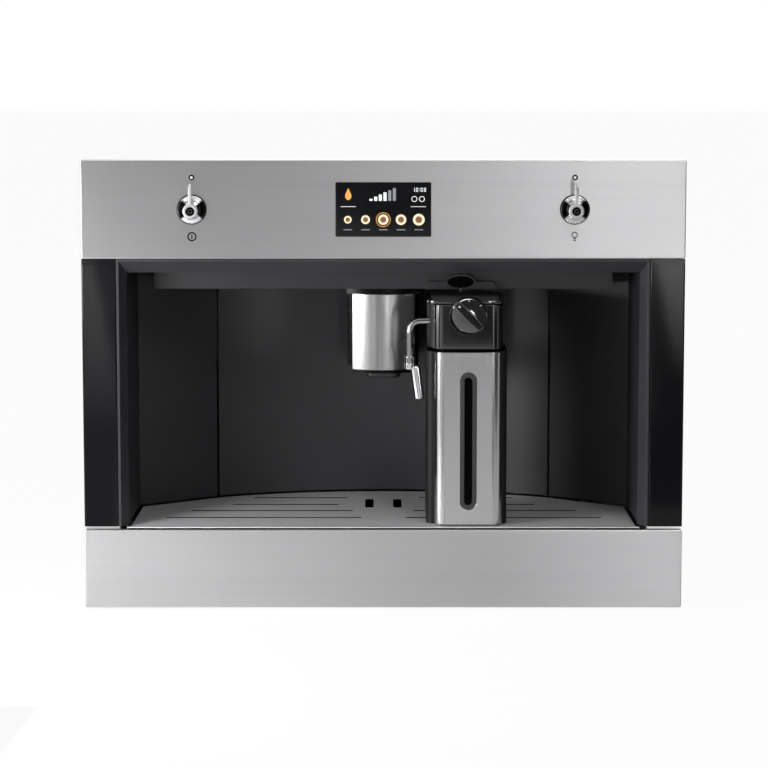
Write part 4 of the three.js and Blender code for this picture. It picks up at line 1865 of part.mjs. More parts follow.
// Shelf that carries the tank: a plate with a folded edge down to the base pan's flange.
function tankShelf() {
  const z1 = TANK_BOTTOM - SEAT;
  const plate = plan(tankOutline(-SHELF_BORDER), z1 - BODY_SHEET, z1);
  const x = SHELF_BORDER - TANK_INNER_X;
  const legBack = WORKS_BACK_Y - TANK_BACK_GAP;
  const leg = block(x - BODY_SHEET, x, SHELF_LEG_START, legBack, PAN_TOP + SEAT, z1);
  const [hookX0, hookX1] = [SEAT - WALL_INSIDE, SHELF_HOOK_INSET - TANK_OUTER_X];
  const hookEnds = beforeRear(SHELF_HOOK_SETBACKS);
  const hook = block(hookX0, hookX1, ...hookEnds, z1 - SHELF_HOOK_HEIGHT, z1 - BODY_SHEET / 2);
  const hole = rodZ(SHELF_HOLE_RADIUS, ...valvePlace(), z1 - SHELF_HOOK_HEIGHT, z1 + OVERCUT);
  return cut(join(plate, leg, hook), hole);
}

function valvePlace() {
  return [-(TANK_INNER_X + TANK_OUTER_X) / 2, WORKS_BACK_Y - VALVE_SETBACK];
}

// Removable water tank with a valve spigot below and a finger grip across the top.
function waterTank() {
  const [z0, z1] = [TANK_BOTTOM, TANK_TOP];
  const shell = plan(tankOutline(0), z0, z1);
  const hollow = plan(tankOutline(TANK_WALL), z0 + TANK_WALL, z1 + OVERCUT);
  const [x, y] = valvePlace();
  const spigot = rodZ(SPIGOT_RADIUS, x, y, z0 - SPIGOT_LENGTH, z0 + OVERCUT);
  const [x0, x1] = [TANK_GRIP_INSET - TANK_OUTER_X, -TANK_INNER_X - TANK_GRIP_INSET];
  const [y0, y1] = [y - TANK_GRIP_HALF, y + TANK_GRIP_HALF];
  const bar = block(x0, x1, y0, y1, z1 - TANK_GRIP_SINK, z1 + TANK_GRIP_RISE);
  return join(cut(shell, hollow), spigot, bar);
}

// ---------------------------------------------------------------- assembly
const coffeeMachine = new THREE.Group();
const cradle = new THREE.Group();
const machine = new THREE.Group();
const spout = new THREE.Group();
const jug = new THREE.Group();
const drawer = new THREE.Group();
coffeeMachine.add(cradle, machine, spout, jug, drawer);

place(cradle, "niche_cradle", nicheCradle(), GALVANISED);
placePair(cradle, "rail_outer", rail(0), GALVANISED);
placePair(cradle, "rail_middle", rail(1), GALVANISED);

placePair(machine, "rail_inner", rail(2), GALVANISED);
place(machine, "base_pan", basePan(), GALVANISED);
placePair(machine, "side_wall", sideWall(), GALVANISED);
place(machine, "rear_wall", rearWall(), GALVANISED);
place(machine, "top_cover", topCover(), GALVANISED);
place(machine, "front_frame", frontFrame(), GALVANISED);
place(machine, "control_panel", controlPanel(), BRUSHED_STEEL);
place(machine, "control_panel_carrier", controlPanelCarrier(), MATT_BLACK);
place(machine, "display_glass", displayGlass(), SCREEN_GLASS);
place(machine, "control_board", controlBoard(), CIRCUIT_GREEN);
placePair(machine, "column", column(), GLOSS_BLACK);
place(machine, "bay_surround", baySurround(), SATIN_BLACK);
place(machine, "service_door", serviceDoor(), SATIN_BLACK);
place(machine, "header_box", headerBox(), SATIN_BLACK);
place(machine, "steam_nozzle", steamNozzle(), SATIN_BLACK);
place(machine, "spout_guide", spoutGuide(), SATIN_BLACK);
for (const [end, sign] of SIDES) {
  const x = sign * CONTROL_SPACING;
  place(machine, `rosette_${end}`, rosette(x), CHROME);
  place(machine, `indicator_${end}`, indicator(x), LIGHT_PIPE);
  place(machine, `switch_${end}`, rotarySwitch(x), MATT_BLACK);
  place(machine, `lever_${end}`, lever(x), CHROME);
  place(machine, `bay_lamp_${end}`, bayLamp(sign * LAMP_SPACING), LIGHT_PIPE);
}
place(machine, "brew_unit", brewUnit(), MATT_BLACK);
place(machine, "grinder", grinder(), CAST_ALLOY);
place(machine, "bean_hopper", beanHopper(), MATT_BLACK);
place(machine, "hopper_lid", hopperLid(), SATIN_BLACK);
place(machine, "boiler", boiler(), CAST_ALLOY);
place(machine, "pump", pump(), MATT_BLACK);
place(machine, "power_board", powerBoard(), CIRCUIT_GREEN);
place(machine, "power_inlet", powerInlet(), MATT_BLACK);
place(machine, "tank_shelf", tankShelf(), GALVANISED);
place(machine, "water_tank", waterTank(), CLEAR_TANK);

place(spout, "spout_carriage", spoutCarriage(), SATIN_BLACK);
place(spout, "spout_cover", spoutCover(), BRUSHED_STEEL);
place(spout, "spout_nozzles", spoutNozzles(), SATIN_BLACK);

place(jug, "jug_body", jugBody(), SATIN_BLACK);
place(jug, "jug_cover", jugCover(), BRUSHED_STEEL);
place(jug, "jug_window", jugWindow(), GLOSS_BLACK);
place(jug, "jug_lid", jugLid(), GLOSS_BLACK);
place(jug, "froth_knob", frothKnob(), GLOSS_BLACK);
place(jug, "milk_tube", milkTube(), CHROME);
place(jug, "milk_nozzle", milkNozzle(), CHROME);

place(drawer, "lower_panel", foldedPanel(FASCIA_LIFT, LOWER_TOP), BRUSHED_STEEL);
place(drawer, "lower_panel_core", panelCarrier(FASCIA_LIFT, LOWER_TOP, CORE_RIBS), MATT_BLACK);
place(drawer, "drip_tray", dripTray(), SATIN_BLACK);
place(drawer, "cup_grille", cupGrille(), GRILLE_STEEL);
place(drawer, "grounds_bin", groundsBin(), SATIN_BLACK);

export default coffeeMachine;
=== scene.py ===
"""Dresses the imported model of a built-in coffee machine: finer pieces, finishes, studio and camera.

The frame, the studio and the sizes in the sidebar are in metres. Shapes are worked out in millimetres and
scaled by MM when they become meshes.
"""

import json
from math import asin, cos, pi, radians, sin, sqrt

import bmesh
import bpy
import numpy as np
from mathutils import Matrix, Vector


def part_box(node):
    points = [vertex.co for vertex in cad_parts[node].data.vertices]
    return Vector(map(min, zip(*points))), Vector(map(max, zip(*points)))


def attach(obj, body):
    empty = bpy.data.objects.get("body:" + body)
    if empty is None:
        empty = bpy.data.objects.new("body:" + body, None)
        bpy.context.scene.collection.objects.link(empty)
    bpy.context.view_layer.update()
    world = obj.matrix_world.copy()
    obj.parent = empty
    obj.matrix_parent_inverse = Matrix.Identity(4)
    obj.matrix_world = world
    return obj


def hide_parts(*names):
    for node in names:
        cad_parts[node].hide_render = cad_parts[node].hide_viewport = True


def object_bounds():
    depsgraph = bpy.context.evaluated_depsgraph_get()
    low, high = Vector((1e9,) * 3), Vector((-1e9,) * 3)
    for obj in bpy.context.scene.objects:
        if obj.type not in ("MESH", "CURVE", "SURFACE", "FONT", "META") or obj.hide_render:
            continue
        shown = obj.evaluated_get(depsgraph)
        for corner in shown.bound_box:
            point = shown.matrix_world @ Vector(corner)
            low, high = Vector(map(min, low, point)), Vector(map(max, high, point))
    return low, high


bl_info = {
    "name": "Built-in coffee machine",
    "version": (1, 0, 0),
    "blender": (4, 5, 0),
    "location": "3D View > Sidebar > Coffee machine",
    "description": "Dresses the frame of a built-in coffee machine with finer pieces and finishes",
    "category": "Object",
}

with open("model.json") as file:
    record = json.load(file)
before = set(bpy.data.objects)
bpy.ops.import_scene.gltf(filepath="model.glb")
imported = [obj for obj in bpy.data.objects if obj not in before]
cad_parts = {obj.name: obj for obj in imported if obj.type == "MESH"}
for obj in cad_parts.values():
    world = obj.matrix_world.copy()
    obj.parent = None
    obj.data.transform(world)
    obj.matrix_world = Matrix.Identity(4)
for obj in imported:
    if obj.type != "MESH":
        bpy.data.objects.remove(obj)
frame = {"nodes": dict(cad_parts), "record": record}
CAD_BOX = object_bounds()
SLOT_OF = {part["node"]: part["material_slot"] for part in frame["record"]["subparts"]}

MM = 0.001
ENDS = ("left", "right")
MERGE = 1e-6  # metres; points nearer than this are one
MERGE_CAD = 2e-6
COPLANAR = radians(0.6)  # CAD triangles that turn less than this are one face
TINY = 1e-9  # keeps lengths and areas off zero
LARGEST_SHARE = 0.49  # of a straight run, that one of its two soft corners may take


def extent(node):
    """Lowest corner, highest corner, middle and half size of a CAD node, in millimetres."""
    low, high = (np.array(corner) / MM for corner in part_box(node))
    return low, high, (low + high) / 2, (high - low) / 2


# ------------------------------------------------------------------ outlines
def soft_corners(corners, radius, steps=6, closed=True):
    """Each corner of a polyline becomes a parabola that leaves and joins the straight runs at radius
    from the corner; the point at share t is (1-t)^2 a + 2t(1-t) p + t^2 b."""
    p = np.asarray(corners, float)
    radius = np.array(radius, float)
    before, after = np.roll(p, 1, 0), np.roll(p, -1, 0)
    if not closed:
        before[0], after[-1] = p[0], p[-1]
        radius[0] = radius[-1] = 0.0
    to_before, to_after = before - p, after - p
    shares = []
    for run in (to_before, to_after):
        length = np.maximum(np.linalg.norm(run, axis=1), TINY)
        shares.append(np.minimum(radius / length, LARGEST_SHARE)[:, None])
    a, b = p + to_before * shares[0], p + to_after * shares[1]
    t = np.linspace(0, 1, steps)[None, :, None]
    bent = (1 - t) ** 2 * a[:, None] + 2 * t * (1 - t) * p[:, None] + t**2 * b[:, None]
    return bent.reshape(-1, p.shape[1])


def eased(rows, steps=6):
    """An open profile from rows of (radius, height, softness of the corner)."""
    rows = np.array(rows, float)
    return soft_corners(rows[:, :2], rows[:, 2], steps, closed=False)


def path_of(corners, radius, steps):
    """An open path with soft corners and no point twice."""
    path = soft_corners(corners, radius, steps, closed=False)
    return path[np.r_[True, np.linalg.norm(np.diff(path, axis=0), axis=1) > MERGE / MM]]


def box_loop(u0, u1, v0, v1):
    return [(u0, v0), (u1, v0), (u1, v1), (u0, v1)]


def rectangle(u0, u1, v0, v1, radius, steps=8):
    """A rounded rectangle, anticlockwise, with quarter circles at its corners."""
    turn = np.linspace(0, pi / 2, steps)
    starts = np.array([-pi / 2, 0, pi / 2, pi])[:, None]
    cu = np.array([u1, u1, u0, u0])[:, None] + radius * np.array([-1, -1, 1, 1])[:, None]
    cv = np.array([v0, v1, v1, v0])[:, None] + radius * np.array([1, -1, -1, 1])[:, None]
    angle = starts + turn
    return np.stack([cu + radius * np.cos(angle), cv + radius * np.sin(angle)], -1).reshape(-1, 2)


def circle(u, v, radius, count=48, squeeze=1.0):
    """count points at equal angles, the second coordinate multiplied by squeeze."""
    angle = np.linspace(0, 2 * pi, count, endpoint=False)
    return np.stack([u + radius * np.cos(angle), v + radius * squeeze * np.sin(angle)], -1)


def oblong(u, v, half_u, half_v, count, power):
    """A superellipse: each coordinate is the cosine or sine raised to 2 over the power, sign kept."""
    angle = (np.arange(count) + 0.5) / count * 2 * pi
    c, s = (np.sign(wave) * np.abs(wave) ** (2 / power) for wave in (np.cos(angle), np.sin(angle)))
    return np.stack([u + half_u * c, v + half_v * s], -1)


def radius_of(half_chord, rise):
    """The circle through an arc's ends and its crown: (chord^2 + rise^2) over twice the rise."""
    return (half_chord**2 + rise**2) / (2 * rise)


def arc(radius, centre, angle, toward=1):
    """Points about (0, centre): x = r sin a, y = centre + r cos a, or - r cos a toward the front."""
    return np.stack([radius * np.sin(angle), centre + toward * radius * np.cos(angle)], -1)


# ------------------------------------------------------------------ surfaces
def grid_faces(rows, columns, wrap):
    """Quads between neighbouring rows; wrap joins the last column to the first."""
    count = columns if wrap else columns - 1
    r, c = np.meshgrid(np.arange(rows - 1), np.arange(count), indexing="ij")
    n = (c + 1) % columns
    quads = np.stack([r * columns + c, r * columns + n, (r + 1) * columns + n, (r + 1) * columns + c], -1)
    return quads.reshape(-1, 4).tolist()


def banded(rings):
    """A skin over rings of equal count, open at its ends."""
    rings = np.asarray(rings, float)
    return rings.reshape(-1, 3), grid_faces(rings.shape[0], rings.shape[1], True)


def stacked(rings):
    """A skin over rings of equal count, closed by a flat face at each end."""
    points, faces = banded(rings)
    count = len(rings[0])
    return points, faces + [list(range(count))[::-1], list(range(len(points) - count, len(points)))]


def turned(profile, count=96):
    """A profile of (radius, height) turned about the height axis: x = r cos a, y = r sin a."""
    angle = np.linspace(0, 2 * pi, count, endpoint=False)
    r, h = profile[:, :1], profile[:, 1:]
    return banded(np.stack([r * np.cos(angle), r * np.sin(angle), np.broadcast_to(h, (len(h), count))], -1))


def swept(section, path, side):
    """A closed section carried along a path: its first coordinate lies along side, its second along
    side x tangent, and the tangent is the difference between a point's neighbours."""
    section = np.broadcast_to(section, (len(path), *section.shape[-2:]))
    tangent = np.gradient(path, axis=0)
    tangent /= np.linalg.norm(tangent, axis=1)[:, None]
    side = np.broadcast_to(np.asarray(side, float), path.shape)
    other = np.cross(tangent, side)
    other /= np.linalg.norm(other, axis=1)[:, None]
    return stacked(path[:, None] + section[..., :1] * side[:, None] + section[..., 1:] * other[:, None])


def moved(shape, offset):
    points, faces = shape
    return points + offset, faces


def toward_front(points, x, y, z):
    """Turns heights along +Z into heights that stand forward, along -Y, from (x, y, z)."""
    return np.stack([points[..., 0] + x, y - points[..., 2], points[..., 1] + z], -1)


def facing(shape, x, y, z):
    points, faces = shape
    return toward_front(points, x, y, z), faces


def in_front(loop, y):
    """A loop of (x, z) at one depth."""
    return np.insert(np.asarray(loop, float), 1, y, axis=1)


def in_plan(loop, z):
    """A loop of (x, y) at one height."""
    return np.insert(np.asarray(loop, float), 2, z, axis=1)


def slab(loop, y0, y1):
    """A loop of (x, z) given a thickness in depth."""
    return stacked([in_front(loop, y0), in_front(loop, y1)])


def column_of(loop, z0, z1):
    """A loop of (x, y) carried up from z0 to z1."""
    return stacked([in_plan(loop, z0), in_plan(loop, z1)])


def layered(outline, base, rows):
    """A skin over an outline drawn in by an inset, from rows of (height over base, inset)."""
    return stacked([in_plan(outline(inset), base + height) for height, inset in rows])


def hoop(x, z, inner, outer, y0, y1, count=48):
    """A flat ring: circles at the front and back, inner and outer, joined round."""
    edges = ((inner, y0), (outer, y0), (outer, y1), (inner, y1), (inner, y0))
    return banded([in_front(circle(x, z, radius, count), y) for radius, y in edges])


def joined(*shapes):
    """Several (points, faces) in one."""
    points, faces, start = [], [], 0
    for part, part_faces in shapes:
        points.append(part)
        faces.extend([[i + start for i in face] for face in part_faces])
        start += len(part)
    return np.concatenate(points), faces


class Signs:
    """Flat signs drawn about a point of a front face, between two depths."""

    def __init__(self, x, z, back, front):
        self.x, self.z, self.back, self.front = x, z, back, front

    def plate(self, loop):
        return slab(np.add(loop, (self.x, self.z)), self.back, self.front)

    def bar(self, u0, u1, v0, v1):
        return self.plate(box_loop(u0, u1, v0, v1))

    def ring(self, u, v, inner, outer, count=48):
        return hoop(self.x + u, self.z + v, inner, outer, self.back, self.front, count)

    def digit(self, u, v, lit_bars, width=2.0, height=3.8, stroke=0.5):
        """A digit of seven bars, lettered clockwise from the top one, the middle one last."""
        right, top, middle = u + width, v + height, v + height / 2
        bars = {
            "a": (u, right, top - stroke, top),
            "b": (right - stroke, right, middle, top),
            "c": (right - stroke, right, v, middle),
            "d": (u, right, v, v + stroke),
            "e": (u, u + stroke, v, middle),
            "f": (u, u + stroke, middle, top),
            "g": (u, right, middle - stroke / 2, middle + stroke / 2),
        }
        return [self.bar(*bars[letter]) for letter in lit_bars]


# ------------------------------------------------------------------ pieces
def mesh_of(name, shape, open_sheet=False):
    """The shape with its doubles merged and its faces outwards, or forward if it is an open sheet."""
    points, faces = shape
    mesh = bpy.data.meshes.new(name)
    mesh.from_pydata((points * MM).tolist(), [], faces)
    shell = bmesh.new()
    shell.from_mesh(mesh)
    bmesh.ops.remove_doubles(shell, verts=shell.verts, dist=MERGE)
    bmesh.ops.recalc_face_normals(shell, faces=shell.faces)
    if open_sheet and sum(face.normal.y * face.calc_area() for face in shell.faces) > 0:
        bmesh.ops.reverse_faces(shell, faces=shell.faces)
    shell.to_mesh(mesh)
    shell.free()
    return mesh


def keep_flat(mesh, smooth):
    """Each corner's normal is the mean, weighted by area, of the faces round its vertex that lie within
    the angle smooth of its own face, so that a large flat face stays flat beside a rounded edge."""
    corners, count = len(mesh.loops), len(mesh.polygons)
    vertex, size = np.empty(corners, np.int32), np.empty(count, np.int32)
    normal, area = np.empty(count * 3), np.empty(count)
    mesh.loops.foreach_get("vertex_index", vertex)
    mesh.polygons.foreach_get("loop_total", size)
    mesh.polygons.foreach_get("normal", normal)
    mesh.polygons.foreach_get("area", area)
    face = np.repeat(np.arange(count), size)
    order = np.argsort(vertex, kind="stable")
    v, n = vertex[order], normal.reshape(-1, 3)[face[order]]
    weighted = n * np.maximum(area[face[order]], TINY * MM)[:, None]
    total = weighted.copy()
    for step in range(1, int(np.bincount(vertex).max())):
        near = (n[step:] * n[:-step]).sum(1) > cos(radians(smooth))
        pair = (v[step:] == v[:-step]) & near
        total[step:][pair] += weighted[:-step][pair]
        total[:-step][pair] += weighted[step:][pair]
    total /= np.linalg.norm(total, axis=1)[:, None]
    result = np.empty_like(total)
    result[order] = total
    mesh.normals_split_custom_set(result.tolist())


def placed(name, data):
    """A new object of the data, at the origin, in the scene."""
    obj = bpy.data.objects.new(name, data)
    bpy.context.scene.collection.objects.link(obj)
    return obj


def bevelled(obj, width, smooth, segments=3):
    soft = obj.modifiers.new("edges", "BEVEL")
    soft.width = width * MM
    soft.segments = segments
    soft.limit_method = "ANGLE"
    soft.angle_limit = radians(smooth)
    soft.harden_normals = True


def seated(name, mesh, finish, body, stands_for, smooth, flat=True):
    """Shades a mesh smooth up to the angle, gives it its finish and seats it in the frame."""
    mesh.shade_smooth()
    mesh.set_sharp_from_angle(angle=radians(smooth))
    if flat:
        keep_flat(mesh, smooth)
    mesh.materials.clear()
    mesh.materials.append(finish_of(finish))
    obj = placed(name, mesh)
    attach(obj, body)
    if stands_for:
        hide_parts(stands_for)
    return obj


def piece(name, shape, finish, stands_for=None, body="machine", smooth=40, bevel=0):
    """A shape that stands for a CAD node, or beside those that do."""
    obj = seated(name, mesh_of(name, shape), finish, body, stands_for, smooth)
    if bevel:
        bevelled(obj, bevel, smooth)


def refined(node, finish, body, bevel=0.0, smooth=50):
    """A copy of a CAD node with its triangles merged into faces and its edges softened."""
    mesh = frame["nodes"][node].data.copy()
    shell = bmesh.new()
    shell.from_mesh(mesh)
    bmesh.ops.remove_doubles(shell, verts=shell.verts, dist=MERGE_CAD)
    bmesh.ops.dissolve_limit(shell, angle_limit=COPLANAR, verts=shell.verts, edges=shell.edges)
    shell.to_mesh(mesh)
    shell.free()
    obj = seated(f"{node}_finished", mesh, finish, body, node, smooth)
    if bevel:
        bevelled(obj, bevel, smooth)
    return obj


# ------------------------------------------------------------------ nodes
class Nodes:
    """A node tree filled by kind, socket values and settings."""

    def __init__(self, tree):
        self.tree = tree
        tree.nodes.clear()

    def node(self, kind, inputs=None, **settings):
        node = self.tree.nodes.new(kind)
        for key, value in settings.items():
            setattr(node, key, value)
        for key, value in (inputs or {}).items():
            self.feed(node.inputs[key], value)
        return node

    def feed(self, socket, value):
        value = getattr(value, "socket", value)
        if isinstance(value, bpy.types.NodeSocket):
            self.tree.links.new(value, socket)
        elif socket.type == "RGBA":
            socket.default_value = (*value, 1.0)
        else:
            socket.default_value = value

    def between(self, share, first, second):
        """One shader where share is 0, another where it is 1."""
        inputs = {0: share, 1: first.outputs[0], 2: second.outputs[0]}
        return self.node("ShaderNodeMixShader", inputs).outputs[0]


class Value:
    """A socket that carries a number; arithmetic on it adds Math nodes."""

    def __init__(self, nodes, socket):
        self.nodes = nodes
        self.socket = socket

    def _with(self, operation, *others):
        node = self.nodes.node("ShaderNodeMath", dict(enumerate(others)), operation=operation)
        return Value(self.nodes, node.outputs[0])

    def __add__(self, other):
        return self._with("ADD", self, other)

    __radd__ = __add__

    def __mul__(self, other):
        return self._with("MULTIPLY", self, other)

    def __sub__(self, other):
        return self._with("SUBTRACT", self, other)

    def __truediv__(self, other):
        return self._with("DIVIDE", self, other)

    def clamped(self):
        return Value(self.nodes, self.nodes.node("ShaderNodeClamp", {"Value": self}).outputs[0])


def tint(colour, share):
    return tuple(min(1.0, c * share) for c in colour)


class Finish(Nodes):
    """A material that varies with the object's own coordinates."""

    def __init__(self, name):
        self.material = bpy.data.materials.new(name)
        self.material.use_nodes = True
        super().__init__(self.material.node_tree)
        self.output = self.node("ShaderNodeOutputMaterial")
        self.place = self.node("ShaderNodeTexCoord").outputs["Object"]

    def noise(self, scale, detail, roughness, stretch=None):
        """Noise at one scale, or at a scale for each axis given by stretch."""
        place = self.place
        if stretch:
            place = self.node("ShaderNodeMapping", {"Vector": place, "Scale": stretch}).outputs[0]
        inputs = {"Vector": place, "Scale": scale, "Detail": detail, "Roughness": roughness}
        return Value(self, self.node("ShaderNodeTexNoise", inputs).outputs["Fac"])

    def axis(self, index):
        return Value(self, self.node("ShaderNodeSeparateXYZ", {"Vector": self.place}).outputs[index])

    def mixed(self, factor, first, second):
        """A colour between two colours."""
        inputs = {0: factor, 6: first, 7: second}
        return self.node("ShaderNodeMix", inputs, data_type="RGBA").outputs[2]

    def shades(self, factor, colour, dark, light):
        """A colour between a darker and a lighter shade of one colour."""
        return self.mixed(factor, tint(colour, dark), tint(colour, light))

    def bump(self, height, strength, distance):
        """A bumped normal; the distance is in millimetres."""
        inputs = {"Height": height, "Strength": strength, "Distance": distance * MM}
        return self.node("ShaderNodeBump", inputs).outputs[0]

    def shade(self, **inputs):
        names = {key: key.replace("_", " ").title() for key in inputs}
        fixed = {"Ior": "IOR", "Specular Ior Level": "Specular IOR Level"}
        values = {fixed.get(names[key], names[key]): value for key, value in inputs.items()}
        return self.surface(self.node("ShaderNodeBsdfPrincipled", values).outputs[0])

    def surface(self, shader):
        self.feed(self.output.inputs["Surface"], shader)
        return self.material

    def seen_in_mirrors(self, shader):
        """The camera looks through what lamps and mirrors meet as the shader."""
        camera = self.node("ShaderNodeLightPath").outputs["Is Camera Ray"]
        return self.surface(self.between(camera, shader, self.node("ShaderNodeBsdfTransparent")))


# ------------------------------------------------------------------ finishes
def brushed(name, colour, roughness, grain_along, anisotropy=0.6, depth=0.35):
    """Steel with long fine scratches in one direction, cloudy in brightness and roughness."""
    f = Finish(name)
    along = "XYZ".index(grain_along)
    fine, broad = [900] * 3, [160] * 3
    fine[along], broad[along] = 6, 1.5
    scratches = f.noise(1.0, 4.0, 0.7, fine)
    bands = f.noise(1.0, 3.0, 0.5, broad)
    clouds = f.noise(7.0, 2.0, 0.5)
    tone = (scratches * 0.4 + bands * 0.35 + clouds * 0.25).clamped()
    return f.shade(
        base_color=f.shades(tone, colour, 0.86, 1.12),
        metallic=1.0,
        roughness=roughness - 0.09 + scratches * 0.12 + clouds * 0.06,
        anisotropic=anisotropy,
        anisotropic_rotation=0.25,
        normal=f.bump(scratches, depth, 0.02),
    )


def satin(name, colour, metal):
    """Bead-blasted steel: half its light comes back scattered, under a fine broken grain."""
    f = Finish(name)
    beads = f.noise(900.0, 3.0, 0.6)
    wear = f.noise(1.0, 3.0, 0.5, (4, 60, 60))
    return f.shade(
        base_color=f.shades((beads * 0.3 + wear * 0.7).clamped(), colour, 0.88, 1.1),
        metallic=metal,
        roughness=0.44 + beads * 0.1,
        normal=f.bump(beads, 0.2, 0.02),
    )


def polished(name, colour, roughness):
    """Chrome: bright, with the faintest haze and handling marks."""
    f = Finish(name)
    haze = f.noise(60.0, 4.0, 0.6)
    marks = f.noise(900.0, 2.0, 0.5)
    return f.shade(
        base_color=f.shades(haze, colour, 0.94, 1.04),
        metallic=1.0,
        roughness=roughness + haze * 0.02,
        normal=f.bump(marks, 0.02, 0.01),
    )


def spun_with_painted_reflection(name, x, z):
    """Polished metal turned on a lathe about (x, z), with its reflection painted into the colour: light
    above and below its middle, dark at its sides, by the share of the height's square in the square of the
    distance."""
    # painted reflection: the dark tone and the light tone stand for what the turned grain would mirror, at
    # its sides and above and below
    dark, painted_highlight_tone, threshold, contrast = (0.03, 0.03, 0.032), (0.8, 0.8, 0.81), 0.38, 7.0
    f = Finish(name)
    across, up = f.axis(0) - x, f.axis(2) - z
    rise = up * up
    share = rise / (rise + across * across)
    rings = f.noise(300.0, 2.0, 0.5)
    return f.shade(
        base_color=f.mixed(((share - threshold) * contrast).clamped(), dark, painted_highlight_tone),
        metallic=1.0,
        roughness=0.16 + rings * 0.04,
    )


def lacquered(name, colour, roughness, coat, gloss):
    """Gloss-black moulding: deep colour under a clear coat with a faint orange peel."""
    f = Finish(name)
    peel = f.noise(220.0, 2.0, 0.4)
    dust = f.noise(1400.0, 3.0, 0.6)
    return f.shade(
        base_color=f.shades(dust, colour, 0.8, 1.3),
        roughness=roughness + peel * 0.05,
        specular_ior_level=gloss,
        coat_weight=coat,
        coat_roughness=0.03,
        normal=f.bump(peel, 0.06, 0.02),
    )


def moulded(name, colour, roughness, grain=1500.0, depth=0.25, gloss=0.5):
    """Spark-eroded plastic: a fine pebble grain with slightly uneven sheen."""
    f = Finish(name)
    pebble = f.node("ShaderNodeTexVoronoi", {"Vector": f.place, "Scale": grain}, feature="SMOOTH_F1")
    clouds = f.noise(18.0, 3.0, 0.5)
    return f.shade(
        base_color=f.shades(clouds, colour, 0.85, 1.2),
        roughness=roughness - 0.05 + clouds * 0.1,
        specular_ior_level=gloss,
        normal=f.bump(pebble.outputs["Distance"], depth, 0.05),
    )


def zinc_coated(name, colour):
    """Galvanised sheet: large crystals that differ in tone and sheen."""
    f = Finish(name)
    cells = f.node("ShaderNodeTexVoronoi", {"Vector": f.place, "Scale": 150.0})
    crystal = Value(f, f.node("ShaderNodeSeparateColor", {"Color": cells.outputs["Color"]}).outputs[0])
    rolling = f.noise(1.0, 3.0, 0.6, (20, 20, 500))
    return f.shade(
        base_color=f.shades((crystal * 0.7 + rolling * 0.3).clamped(), colour, 0.9, 1.08),
        metallic=0.6,
        roughness=0.42 + crystal * 0.12,
        normal=f.bump(rolling, 0.15, 0.03),
    )


def cast(name, colour):
    """Die-cast alloy: a sandy skin with darker hollows."""
    f = Finish(name)
    sand = f.noise(1100.0, 5.0, 0.65)
    pits = f.noise(160.0, 3.0, 0.5)
    return f.shade(
        base_color=f.shades(pits, colour, 0.75, 1.1),
        metallic=0.85,
        roughness=0.42 + sand * 0.18,
        normal=f.bump(sand, 0.4, 0.08),
    )


def circuit(name, colour):
    """Lacquered board: a green mask over fine conductor lines and pads."""
    f = Finish(name)
    shades = {"Color1": (0, 0, 0), "Color2": (0.2, 0.2, 0.2), "Mortar": (1, 1, 1)}
    inputs = {"Vector": f.place, "Scale": 160.0, "Mortar Size": 0.012, **shades}
    lines = Value(f, f.node("ShaderNodeTexBrick", inputs).outputs["Fac"])
    clouds = f.noise(40.0, 3.0, 0.5)
    return f.shade(
        base_color=f.shades((lines * 0.8 + clouds * 0.2).clamped(), colour, 0.8, 1.9),
        roughness=0.38 + clouds * 0.14,
        normal=f.bump(lines, 0.3, 0.03),
    )


def screen_face(name, colour):
    """Cover glass over a switched-on black panel."""
    f = Finish(name)
    film = f.noise(35.0, 2.0, 0.5)
    return f.shade(
        base_color=f.shades(film, colour, 0.7, 1.4),
        roughness=0.05 + film * 0.03,
        specular_ior_level=0.5,
        normal=f.bump(film, 0.01, 0.01),
    )


def smoked(name, colour):
    """Clear grey plastic of the tank, a little cloudy."""
    f = Finish(name)
    haze = f.noise(25.0, 3.0, 0.5)
    return f.shade(
        base_color=f.shades(haze, colour, 0.9, 1.1),
        roughness=0.08 + haze * 0.08,
        transmission_weight=0.75,
        ior=1.49,
        normal=f.bump(haze, 0.03, 0.05),
    )


def frosted_lens(name, colour, glow):
    """Milky lens with its light behind it."""
    f = Finish(name)
    grain = f.noise(700.0, 2.0, 0.5)
    return f.shade(
        base_color=f.shades(grain, colour, 0.92, 1.05),
        roughness=0.3 + grain * 0.1,
        emission_color=colour,
        emission_strength=glow,
        normal=f.bump(grain, 0.1, 0.02),
    )


def lit(name, colour, glow):
    """A sign on the screen: its pixels shine, each row a little differently."""
    f = Finish(name)
    rows = f.noise(1.0, 1.0, 0.5, (200, 200, 2600))
    return f.shade(
        base_color=tint(colour, 0.4),
        roughness=0.3,
        emission_color=f.shades(rows, colour, 0.85, 1.1),
        emission_strength=glow,
    )


FINISHES = {}


